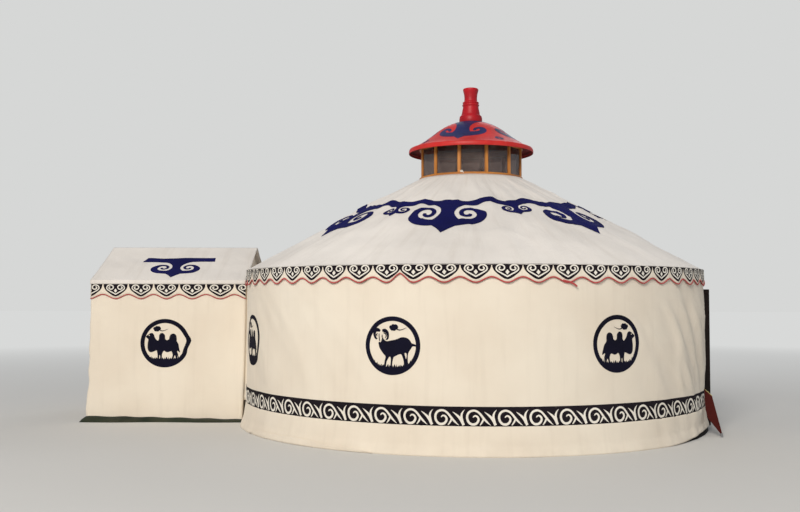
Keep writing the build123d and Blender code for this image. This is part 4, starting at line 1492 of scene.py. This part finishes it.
@dataclass
class Lantern:
    """Glazed lantern with its painted posts, domed cap and finial."""

    sill: Point = (0.615, 0.700)
    sill_heights: Point = (3.228, 3.268)
    post_top: float = 3.643
    posts: int = 12
    first_post: float = 13.0
    post_size: float = 0.036
    post_radius: float = 0.676
    dome_radius: float = 0.755
    dome_centre: float = 3.295
    flare_radius: float = 1.64
    bend: float = 40.0
    brim_angle: float = 27.0
    brim_radius: float = 0.845
    brim_drop: float = 0.070
    motif_tip: float = 0.838
    dot_place: float = 0.795
    collar: Point = (0.14, 0.245)
    tie_turn: float = -14.3
    cap_wall: float = 0.008
    finial_foot: float = 4.024
    motif_turn: float = -17.5

    def profile(self, inset: float = 0.0) -> Line:
        """Profile of the cap from its top to the turn of its brim."""
        bend = math.radians(self.bend)
        reach = self.dome_radius + self.flare_radius
        centre = (reach * math.sin(bend), self.dome_centre + reach * math.cos(bend))
        dome = arc((0.0, self.dome_centre), self.dome_radius - inset, 0.0, self.bend, 20)
        return dome + arc(centre, -self.flare_radius - inset, self.bend, self.brim_angle, 12)[1:]

    def cap(self) -> None:
        """Red cap with a rolled lip and its blue ornament."""
        outer = self.profile()
        end = outer[-1]
        lip = smooth_line([end, (end[0] + 0.75 * (self.brim_radius - end[0]), end[1] - 0.010),
                           (self.brim_radius, end[1] - 0.6 * self.brim_drop),
                           (self.brim_radius - 0.002, end[1] - self.brim_drop)], 4)
        outside = outer + lip[1:]
        inside = [(r - self.cap_wall, z) for r, z in reversed(lip[2:])] + self.profile(self.cap_wall)[::-1]
        shape = turned(outside + inside[:-1] + [(0.0, inside[-1][1])], 120)
        dome = piece("lantern_cap_dome", shape, RED, ("lantern_cap",), sharp=50.0)
        # Downward faces take the darker red, which paints the shade under the brim.
        dome.data.materials.append(UNDERSIDE_SHADE.material())
        for face in dome.data.polygons:
            face.material_index = int(face.normal.z < -0.2)
        surface = DomeSurface(tuple(outer))
        motif = Volutes(0.72, 0.55, CAP_NECK, CAP_VOLUTE)
        parts = []
        for index in range(4):
            turn = math.radians(self.motif_turn + 90.0 * index)
            flat = moved(layered(motif.outlines(), (0.05, 0.05), -0.0006), 0.0, -self.motif_tip)
            parts.append(wrapped(flat, surface, turn))
            dot = filled([disc(0.064, 24, 0.8), disc(0.018, 12, 0.7)], 0.0016, -0.0004)
            parts.append(wrapped(moved(dot, 0.0, -self.dot_place), surface, turn + math.radians(45.0)))
        collar = grid((-math.pi, -self.collar[1]), (math.pi, -self.collar[0]), (math.radians(3.0), 0.05))
        sewn(spun(collar, surface, 0.0012), 10.0)
        bmesh.ops.solidify(collar, geom=collar.faces[:], thickness=0.002)
        piece("lantern_cap_ornament", joined([*parts, collar]), BLUE)

    def finial(self) -> None:
        """Turned finial with two rings and a waisted top."""
        outline = [(0.150, 0.000), (0.1545, 0.010), (0.156, 0.030), (0.156, 0.056), (0.152, 0.080),
                   (0.145, 0.097), (0.137, 0.103), (0.131, 0.108), (0.1255, 0.124), (0.1205, 0.146),
                   (0.1155, 0.171), (0.110, 0.198), (0.106, 0.222), (0.106, 0.232), (0.1135, 0.238),
                   (0.1155, 0.247), (0.1135, 0.255), (0.104, 0.261), (0.104, 0.268), (0.1095, 0.273),
                   (0.1115, 0.280), (0.108, 0.288), (0.094, 0.293), (0.089, 0.299), (0.0865, 0.319),
                   (0.0865, 0.352), (0.090, 0.390), (0.0975, 0.423), (0.104, 0.450), (0.1055, 0.459),
                   (0.1035, 0.470), (0.094, 0.477), (0.082, 0.479), (0.074, 0.478), (0.068, 0.474),
                   (0.0, 0.474)]
        raised = [(r, self.finial_foot + z) for r, z in outline]
        shape = turned([(0.0, self.finial_foot - 0.018), (0.146, self.finial_foot - 0.018)] + raised, 64)
        piece("lantern_finial_turned", shape, SCARLET, ("lantern_finial",), sharp=60.0)

    def spoke(self, number: float) -> tuple[Vector, Vector]:
        """Directions away from the axis and across it, at a number of posts round."""
        turn = math.radians(self.first_post + 360.0 / self.posts * number)
        return Vector((math.cos(turn), math.sin(turn), 0.0)), Vector((-math.sin(turn), math.cos(turn), 0.0))

    def frame_pieces(self) -> None:
        """Sill, posts and head ring."""
        inner, outer = self.sill
        low, high = self.sill_heights
        soft = 0.006
        sill = [(inner, low), (outer - soft, low), (outer, low + soft), (outer, high - soft),
                (outer - soft, high), (inner + soft, high), (inner, high - soft)]
        piece("lantern_sill_ring", turned(sill, 96, closed=True), AMBER, ("lantern_sill",))
        head_low, head_high = self.post_top, self.post_top + 0.060
        head = [(0.640, head_low), (outer, head_low), (outer, head_high), (0.640, head_high + 0.02)]
        piece("lantern_head", turned(head, 96, closed=True), AMBER, ("lantern_head_ring",))
        posts = []
        for index in range(self.posts):
            out, _ = self.spoke(index)
            spot, size = out * self.post_radius, self.post_size
            posts.append(bar(spot + UP * high, spot + UP * self.post_top, size, size, out))
        piece("lantern_post_set", joined(posts), AMBER, ("lantern_posts",))

    def glazing(self) -> None:
        """Panes between the posts, held by thin beads."""
        low, high = self.sill_heights[1], self.post_top
        panes, beads = [], []
        half_step = math.pi / self.posts
        half = self.post_radius * math.sin(half_step) - self.post_size / 2 - 0.001
        for index in range(self.posts):
            out, side = self.spoke(index + 0.5)
            pane = out * self.post_radius * math.cos(half_step)
            panes.append(bar(pane + UP * low, pane + UP * high, 2 * half, 0.005, out, 0.0))
            bead = pane + out * 0.006
            for height in (low + 0.004, high - 0.004):
                level = bead + UP * height
                beads.append(bar(level - side * half, level + side * half, 0.008, 0.007, out, 0.001))
            for sign in (-1, 1):
                spot = bead + side * sign * (half - 0.002)
                foot, head = spot + UP * (low + 0.008), spot + UP * (high - 0.008)
                beads.append(bar(foot, head, 0.004, 0.007, out, 0.0))
        piece("lantern_glass", joined(panes), PANE, ("lantern_panes",))
        piece("lantern_beads", joined(beads), AMBER)

    def tie(self) -> None:
        """White cord knotted on the sill, at the foot of a post."""
        turn = math.radians(self.tie_turn)
        out, side = outwards(turn), Vector((math.cos(turn), math.sin(turn), 0.0))
        middle = out * 0.690 + UP * (self.sill_heights[1] + 0.012)
        cords = []
        for size, lean in ((0.015, 0.3), (0.011, -0.6)):
            loop = [middle + side * x + (out * lean + UP) * 0.7 * y for x, y in disc(size, 10)]
            cords.append(tube(loop, 0.0065, closed=True))
        tail = [middle + side * (0.006 + 0.012 * i) + out * 0.004 * i - UP * 0.010 * i for i in range(3)]
        cords.append(tube(tail, 0.005))
        piece("sill_cord_knot", joined(cords), CORD)

    def build(self) -> None:
        """Builds the lantern."""
        self.frame_pieces()
        self.glazing()
        self.tie()
        self.cap()
        self.finial()


TENT_LOW = Vector((-5.080, -0.200, 0.0))
TENT_HIGH = Vector((-3.090, 1.840, 1.865))
TENT_RISE = 0.487
TENT_SLOPE = math.atan2(TENT_RISE, (TENT_HIGH.y - TENT_LOW.y) / 2)


def tent_sway(spot: Vector) -> Vector:
    """Slack of the side tent's walls: how far a point of the tight cloth has moved."""
    middle, half = (TENT_LOW + TENT_HIGH) / 2, (TENT_HIGH - TENT_LOW) / 2
    dx, dy = (spot.x - middle.x) / half.x, (spot.y - middle.y) / half.y
    low = 1.0 - spot.z / TENT_HIGH.z
    slack = 0.011 * noise.noise(Vector((spot.x * 1.7, spot.y * 1.7, spot.z * 0.8)))
    slack += 0.004 * noise.noise(Vector((spot.x * 7.0, spot.y * 7.0, spot.z * 2.0 + 4.0)))
    move = Vector((dx**3, dy**3, 0.0)).normalized() * (slack - 0.004) * clamp((TENT_HIGH.z - spot.z) / 0.25)
    front = hill(spot.y, TENT_LOW.y, 0.5)
    bulge = 0.035 * hill(spot.z, 0.20, 0.13) + 0.010 * math.sin(spot.z * 21.0) * low
    move.x -= hill(spot.x, TENT_LOW.x, 0.22) * front * (bulge + 0.02 * low)
    move.x += hill(spot.x, TENT_HIGH.x, 0.45) * front * (0.075 - 0.040 * low * low)
    return move


@dataclass(frozen=True)
class TentWallSurface:
    """One upright face of the side tent."""

    corner: Point
    along: Point
    out: Point
    swaying: bool = True

    def place(self, turn: float, along: float, up: float, lift: float) -> Vector:
        """Point over the wall; turn is a distance along it."""
        spot = Vector(self.corner) + Vector(self.along) * (turn + along) + UP * up
        if self.swaying:
            spot += tent_sway(spot)
        return spot + Vector(self.out) * lift


@dataclass(frozen=True)
class TentRoofSurface:
    """One slope of the side tent's roof, with soft slack between eave and ridge."""

    front: bool

    def place(self, turn: float, along: float, up: float, lift: float) -> Vector:
        """Point over the slope; along is X, up the distance from over the wall."""
        cos, sin = math.cos(TENT_SLOPE), math.sin(TENT_SLOPE)
        way = 1.0 if self.front else -1.0
        edge = TENT_LOW.y if self.front else TENT_HIGH.y
        x = turn + along
        up, drop = max(up, -0.012), min(0.0, up + 0.012)
        slack = 0.016 * noise.noise(Vector((x * 1.6, up * 1.8, way * 3.0)))
        slack += 0.009 * noise.noise(Vector((x * 5.0 + up * 3.0, up * 3.5, way)))
        reach = up / (TENT_RISE / sin)
        depth = lift + (slack - 0.010) * math.sin(math.pi * clamp(reach))
        y = edge + way * (up * cos - depth * sin)
        return Vector((x, y, TENT_HIGH.z + 0.0135 + up * sin + depth * cos + drop))


@dataclass
class SideTent:
    """Small ridged tent beside the yurt."""

    cloth_wall: float = 0.002
    passage_width: float = 0.85
    heart_pitch: float = 0.338
    valance_top: float = 1.822
    medallion: Point = (-4.094, 1.036)
    reach_over: float = 0.070
    eave_turn: float = 0.064
    motif_place: Point = (-4.045, 0.088)
    motif_bar: tuple[Point, ...] = ((-0.505, 0.525), (0.500, 0.540), (0.490, 0.655), (-0.462, 0.675))
    hem_height: float = 0.068
    hem_reach: float = 0.09
    flap_low: float = 0.28
    flap_high: float = 1.79

    def walls(self) -> dict[str, tuple[TentWallSurface, float]]:
        """Upright faces by name, each with its width."""
        low, high = TENT_LOW, TENT_HIGH
        deep, long = high.y - low.y, high.x - low.x
        return {
            "front": (TentWallSurface((low.x, low.y, 0.0), (1.0, 0.0, 0.0), (0.0, -1.0, 0.0)), long),
            "back": (TentWallSurface((high.x, high.y, 0.0), (-1.0, 0.0, 0.0), (0.0, 1.0, 0.0)), long),
            "outer": (TentWallSurface((low.x, high.y, 0.0), (0.0, -1.0, 0.0), (-1.0, 0.0, 0.0)), deep),
            "inner": (TentWallSurface((high.x, low.y, 0.0), (0.0, 1.0, 0.0), (1.0, 0.0, 0.0)), deep),
        }

    def gable(self, width: float, along: float) -> float:
        """Height of the roof's underside over an end wall."""
        return TENT_HIGH.z + (width / 2 - abs(along - width / 2)) * math.tan(TENT_SLOPE)

    def build_walls(self) -> None:
        """Builds the four walls."""
        standing = {"front": ("tent_front_wall",), "back": ("tent_back_wall",), "outer": ("tent_outer_wall",),
                    "inner": ("tent_inner_wall", "tent_wall_over_passage")}
        for name, (surface, width) in self.walls().items():
            ends = name in ("outer", "inner")
            shape = grid((0.0, 0.004), (width, TENT_HIGH.z), (0.03, 0.035))
            area = width * TENT_HIGH.z
            if ends:
                for vert in shape.verts:
                    vert.co.y *= self.gable(width, vert.co.x) / TENT_HIGH.z
                area += width * TENT_RISE / 2
            if name == "inner":
                middle = width / 2
                half = self.passage_width / 2
                knock_out(shape, (middle - half, -1.0), (middle + half, PASSAGE_TOP))
                area -= self.passage_width * PASSAGE_TOP
            made = piece(f"tent_{name}_canvas", wrapped(shape, surface), CREAM, standing[name],
                         self.cloth_wall)

    def build_roof(self) -> None:
        """Builds the two slopes and the ornament."""
        low, high = TENT_LOW.x - 0.015, TENT_HIGH.x + self.reach_over
        top = TENT_RISE / math.sin(TENT_SLOPE)
        for front, node in ((True, "tent_roof_front"), (False, "tent_roof_back")):
            laid = wrapped(grid((low, -self.eave_turn), (high, top), (0.035, 0.0178)), TentRoofSurface(front))
            bmesh.ops.recalc_face_normals(laid, faces=laid.faces[:])
            if sum(face.normal.z for face in laid.faces) < 0:
                bmesh.ops.reverse_faces(laid, faces=laid.faces[:])
            made = piece(f"{node}_canvas", laid, WHITE, (node,), self.cloth_wall)
        groups = Volutes(0.72, 0.65).outlines() + [[list(self.motif_bar)]]
        flat = moved(layered(groups, (0.06, 0.06), 0.0006), *self.motif_place)
        piece("tent_roof_ornament", wrapped(flat, TentRoofSurface(True)), NAVY)

    def build_medallion(self) -> None:
        """Builds the camel medallion on the front wall, whose ring is pulled out and in at its right edge."""
        flat = Medallion(Animal.CAMEL, radius=0.322, ring=0.055).shape()
        x, z = self.medallion
        for vert in flat.verts:
            near = clamp(vert.co.x / 0.3)
            pull = 0.075 * hill(vert.co.y, 0.045, 0.05) - 0.05 * hill(vert.co.y, -0.08, 0.05)
            vert.co.x *= 1.01 + near * pull
        moved(flat, x - TENT_LOW.x, z, 0.0003)
        piece("tent_medallion", wrapped(flat, self.walls()["front"][0]), INK)

    def build_valance(self) -> None:
        """Builds the hanging band with hearts on three sides."""
        heart, pitch = Heart(self.heart_pitch), self.heart_pitch
        cloths, darks, lights, pipes = [], [], [], []
        lines = ((heart.pendant(), 0.0004, darks), (heart.ribbon(), 0.0016, lights),
                 (heart.diamond(), 0.0016, lights))
        for name in ("front", "outer", "back"):
            surface, width = self.walls()[name]
            middle = -4.08 - TENT_LOW.x if name == "front" else width / 2
            first = middle - pitch * math.ceil(middle / pitch)

            def depth(along: float) -> float:
                """Depth of the band at a distance along this wall."""
                return heart.edge((along - first + pitch / 2) % pitch - pitch / 2, heart.crest, heart.crest)

            cloth = grid((0.0, -1.0), (width, 0.0), (0.026, 0.2))
            for vert in cloth.verts:
                vert.co.y *= depth(vert.co.x) + 0.014
                vert.co.y += self.valance_top + 0.014
                vert.co.z = 0.006 + 0.012 * (self.valance_top - vert.co.y)
            cloths.append(wrapped(cloth, surface))
            steps = round(width / 0.025)
            edge = [(width * i / steps, depth(width * i / steps)) for i in range(steps + 1)]
            trim = [surface.place(0.0, x, self.valance_top - y, 0.005 + 0.012 * y) for x, y in edge]
            pipes.append(tube(trim, 0.0065))
            places = [(first + pitch * i, 0.0) for i in range(math.ceil(width / pitch) + 2)]
            for outline, base, store in lines:
                flat = layered([[outline]], (0.05, 0.05), base, 0.0013)
                laid = trimmed(repeated(flat, places), 0.002, width - 0.002)
                flat.free()
                for vert in laid.verts:
                    vert.co.z += 0.006 - 0.012 * vert.co.y
                    vert.co.y += self.valance_top
                store.append(wrapped(laid, surface))
        band = piece("tent_valance_cloth", joined(cloths), CREAM, ("tent_valance",), wall=0.002)
        pieces = [piece("tent_valance_hearts", joined(darks), CHARCOAL),
                  piece("tent_valance_ribbons", joined(lights), RIBBON),
                  piece("tent_valance_piping", joined(pipes), PIPING)]

    def build_foot(self) -> None:
        """Builds the ground cloth's turned-up edge, the closing flap and the sleeve."""
        width = TENT_HIGH.x - TENT_LOW.x
        hem = grid((-self.hem_reach, 0.0), (width, 1.0), (0.03, 0.5))
        for vert in hem.verts:
            x, share, _ = vert.co
            tall = self.hem_height + (0.5 * x if x < 0 else -0.040 * (x / width) ** 1.4)
            vert.co.z = 0.004 + (0.10 + 0.02 * math.sin(x * 5.0)) * (1.0 - share) ** 2
            vert.co.y = share * (tall + 0.004 * math.sin(x * 17.0)) + 0.003
        front = self.walls()["front"][0]
        made = piece("ground_cloth_edge", wrapped(hem, front), GREEN, ("ground_hem",), wall=0.002)
        reach = math.sqrt(WALL_RADIUS**2 - (TENT_LOW.y + 0.04) ** 2)
        corner = (TENT_HIGH.x - 0.002, TENT_LOW.y + 0.046, 0.0)
        flap_wall = TentWallSurface(corner, (1.0, 0.0, 0.0), (0.0, -1.0, 0.0), swaying=False)
        wide = -reach - TENT_HIGH.x + 0.004
        flap = grid((0.0, self.flap_low), (wide, self.flap_high), (0.02, 0.05))
        made = piece("closing_flap_canvas", wrapped(flap, flap_wall), CREAM, ("closing_flap",), wall=0.002)
        self.build_sleeve()

    def build_sleeve(self) -> None:
        """Builds the cloth sleeve between the tent and the round wall."""
        low, high = PASSAGE_FRONT - 0.010, PASSAGE_BACK + 0.010
        top = PASSAGE_TOP + 0.010
        run = 2 * top + (high - low)
        shape = grid((0.0, 0.0), (run, 1.0), (0.05, 0.25))
        for bend in (top, top + high - low):
            cut(shape, ALONG * bend, ALONG)
        set_flat_map(shape)
        for vert in shape.verts:
            along, share, _ = vert.co
            y = low + clamp(along - top, 0.0, high - low)
            z = min(along, top, run - along)
            end = -math.sqrt(WALL_RADIUS**2 - y * y) - 0.001
            vert.co = (TENT_HIGH.x + (end - TENT_HIGH.x) * share, y, max(z, 0.003))
        made = piece("passage_sleeve_canvas", shape, CREAM, ("passage_sleeve",), wall=0.002)

    def build(self) -> None:
        """Builds the side tent."""
        self.build_walls()
        self.build_roof()
        self.build_medallion()
        self.build_valance()
        self.build_foot()
        dress(("tent_posts", "tent_rails"), STEEL)


@dataclass
class Doorway:
    """Timber doorway with an open leaf."""

    inner: float = 2.926
    outer: float = 3.070
    half: float = 0.425
    height: float = 1.700
    jamb: float = 0.060
    threshold: float = 0.045
    leaf_width: float = 0.842
    leaf_heights: Point = (0.049, 1.696)
    stile: float = 0.095
    boards: int = 6

    def build(self) -> None:
        """Builds the frame, the leaf and the hinges."""
        middle, deep = (self.inner + self.outer) / 2, self.outer - self.inner
        side = self.half + self.jamb / 2
        out = (1.0, 0.0, 0.0)
        jambs = [bar((middle, y, 0.0), (middle, y, self.height), self.jamb, deep, out, 0.005)
                 for y in (-side, side)]
        piece("door_jamb_pair", joined(jambs), WALNUT, ("door_jambs",))
        top, end = self.height + self.jamb / 2, side + self.jamb / 2
        head = bar((middle, -end, top), (middle, end, top), self.jamb, deep, out, 0.005)
        piece("door_head_rail", head, WALNUT, ("door_head",))
        level = self.threshold / 2
        step = bar((middle, -self.half, level), (middle, self.half, level), self.threshold, deep, out, 0.006)
        piece("door_threshold_board", step, WALNUT, ("door_threshold",))
        self.leaf()

    def leaf(self) -> None:
        """Builds the open leaf from boards between stiles and rails, with its hinges and its pull."""
        low, high = self.leaf_heights
        end = self.inner - 0.004
        start = end - self.leaf_width
        y, stile, out = self.half + 0.020, self.stile, (0.0, 1.0, 0.0)
        parts = [bar((x, y, low), (x, y, high), stile, 0.040, out)
                 for x in (start + stile / 2, end - stile / 2)]
        for z in (low + 0.06, (low + high) / 2 - 0.1, high - 0.06):
            parts.append(bar((start + stile, y, z), (end - stile, y, z), 0.110, 0.036, out))
        wide = (self.leaf_width - 2 * stile) / self.boards
        for index in range(self.boards):
            x = start + stile + wide * (index + 0.5)
            parts.append(bar((x, y, low + 0.05), (x, y, high - 0.05), wide - 0.001, 0.018, out, 0.0025))
        piece("door_leaf_boards", joined(parts), WALNUT, ("door_leaf",))
        x, face = self.inner - 0.002, self.half - 0.002
        hinges = []
        for share in (0.15, 0.50, 0.85):
            z = self.height * share
            hinges.append(bar((x - 0.04, face, z), (x + 0.04, face, z), 0.110, 0.004, out, 0.001))
            hinges.append(bar((x, face - 0.004, z - 0.055), (x, face - 0.004, z + 0.055), 0.010, 0.010, out))
        piece("door_hinge_set", joined(hinges), STEEL, ("door_hinges",))
        bow = [(i / 10 - 0.5, 0.035 * math.sin(math.pi * i / 10)) for i in range(11)]
        pull = [Vector((start + 0.06, face - reach, 1.0 + 0.11 * share)) for share, reach in bow]
        piece("door_pull", tube(pull, 0.006), STEEL)


@dataclass
class Anchors:
    """Anchor straps beside the doorway, widest below their middle, each with a ground peg."""

    wall_turn: float = 20.0
    top: Point = (2.998, 0.520)
    corner: Point = (3.085, 0.440)
    foot_turn: float = 29.0
    foot: Point = (3.250, 0.028)
    foot_width: float = 0.024
    belly: Point = (0.520, -0.130)
    binding: float = 0.012
    peg_radius: float = 0.014
    peg_height: float = 0.046

    def spot(self, side: float, turn: float, place: Point) -> Vector:
        """Point at an angle beside the doorway, from a radius and a height."""
        angle = math.radians(side * turn)
        return Vector((place[0] * math.cos(angle), place[0] * math.sin(angle), place[1]))

    def strap(self, side: float) -> tuple[BMesh, BMesh]:
        """The strap on one side, and the binding on its top edge."""
        top, corner = self.spot(side, self.wall_turn, self.top), self.spot(side, self.wall_turn, self.corner)
        run = self.spot(side, self.foot_turn, self.foot) - top
        long = run.normalized()
        normal = long.cross(corner - top).normalized()
        across = normal.cross(long)
        turn = Matrix.Translation(top) @ Matrix((long, across, normal)).transposed().to_4x4()
        along, out = (corner - top).dot(long), (corner - top).dot(across)
        end, half = run.length - self.peg_radius, self.foot_width / 2
        hollow = [(0.20, -0.065), (0.38, -0.115)]
        outline = [(0.0, 0.0), (along, out), (end, half), (end, -half), self.belly, *reversed(hollow)]
        binding = [(-0.001, 0.0), (along - 0.001, out), (along + self.binding, out), (self.binding, 0.0)]
        shapes = (filled([outline], 0.004, -0.002), filled([binding], 0.007, -0.0035))
        for shape in shapes:
            dice(shape, (0.04, 0.0))
            set_flat_map(shape)
            bmesh.ops.transform(shape, matrix=turn, verts=shape.verts[:])
        return shapes

    def build(self) -> None:
        """Builds the straps and the pegs."""
        straps, bindings = zip(*(self.strap(side) for side in (-1.0, 1.0)))
        pegs = []
        for side in (-1.0, 1.0):
            foot = self.spot(side, self.foot_turn, self.foot)
            peg = bmesh.new()
            bmesh.ops.create_cone(peg, cap_ends=True, segments=16, radius1=self.peg_radius, radius2=0.012,
                                  depth=self.peg_height)
            pegs.append(moved(peg, foot.x, foot.y, self.peg_height / 2))
        made = piece("anchor_strap_pair", joined(straps), WEBBING, ("anchor_straps",))
        sewn = piece("anchor_strap_binding", joined(bindings), BINDING)
        piece("ground_peg_pair", joined(pegs), STEEL, ("ground_pegs",))


@dataclass
class Studio:
    """Floor, lamps, world and camera."""

    eye: Point = (-0.963, -12.937, 1.617)
    pitch: float = 92.63
    lens: float = 42.94
    sky: float = 0.38

    def lamp(self, name: str, place: Point, aim: Point, size: float, power: float, colour: Colour) -> None:
        """Adds a square area lamp."""
        data = bpy.data.lights.new(name, "AREA")
        data.shape, data.size, data.energy, data.color = "SQUARE", size, power, colour
        made = bpy.data.objects.new(name, data)
        made.location = place
        made.rotation_euler = (Vector(aim) - Vector(place)).to_track_quat("-Z", "Y").to_euler()
        bpy.context.scene.collection.objects.link(made)

    def build(self) -> None:
        """Builds the studio."""
        shape = grid((-120.0, -120.0), (120.0, 120.0), (20.0, 20.0))
        mesh = bpy.data.meshes.new("floor")
        shape.to_mesh(mesh)
        shape.free()
        floor = bpy.data.objects.new("floor", mesh)
        bpy.context.scene.collection.objects.link(floor)
        mesh.materials.append(FLOOR.material())
        self.lamp("key", (-9.5, -30.5, 19.5), (-0.3, 0.0, 1.2), 13.0, 9800.0, (1.0, 0.96, 0.90))
        self.lamp("fill", (13.0, -7.0, 7.0), (0.0, 0.0, 1.0), 9.0, 40.0, (0.80, 0.89, 1.0))
        self.lamp("back", (3.0, 14.0, 10.0), (0.0, 0.0, 1.5), 9.0, 450.0, (0.95, 0.97, 1.0))
        world = bpy.data.worlds.new("studio")
        world.use_nodes = True
        tree = world.node_tree
        seen = tree.nodes.new("ShaderNodeLightPath").outputs["Is Camera Ray"]
        mix = tree.nodes.new("ShaderNodeMix")
        mix.data_type = "RGBA"
        mix.inputs[6].default_value = (*(c * self.sky for c in (0.86, 0.90, 0.96)), 1.0)
        mix.inputs[7].default_value = BACKDROP
        tree.links.new(seen, mix.inputs[0])
        tree.links.new(mix.outputs[2], tree.nodes["Background"].inputs["Color"])
        bpy.context.scene.world = world
        data = bpy.data.cameras.new("camera")
        data.lens, data.sensor_width = self.lens, 36.0
        data.clip_end = 500.0
        camera = bpy.data.objects.new("camera", data)
        camera.location = self.eye
        camera.rotation_euler = (math.radians(self.pitch), math.radians(-0.09), 0.0)
        bpy.context.scene.collection.objects.link(camera)
        bpy.context.scene.camera = camera
        bpy.context.scene.view_settings.view_transform = "Standard"


def main() -> None:
    """Builds the studio and every sub-assembly in order."""
    logging.basicConfig(level=logging.INFO, format="%(message)s")
    Studio().build()
    for assembly in (RoundWall(), Valance(), Roof(), Lantern(), SideTent(), Doorway(), Anchors()):
        assembly.build()
        log.info("%s is done", type(assembly).__name__)
    dress(("lattice_front", "lattice_back", "roof_poles_1", "roof_poles_2", "roof_poles_3", "crown_ring"),
          LATH)


if __name__ == "__main__":
    main()
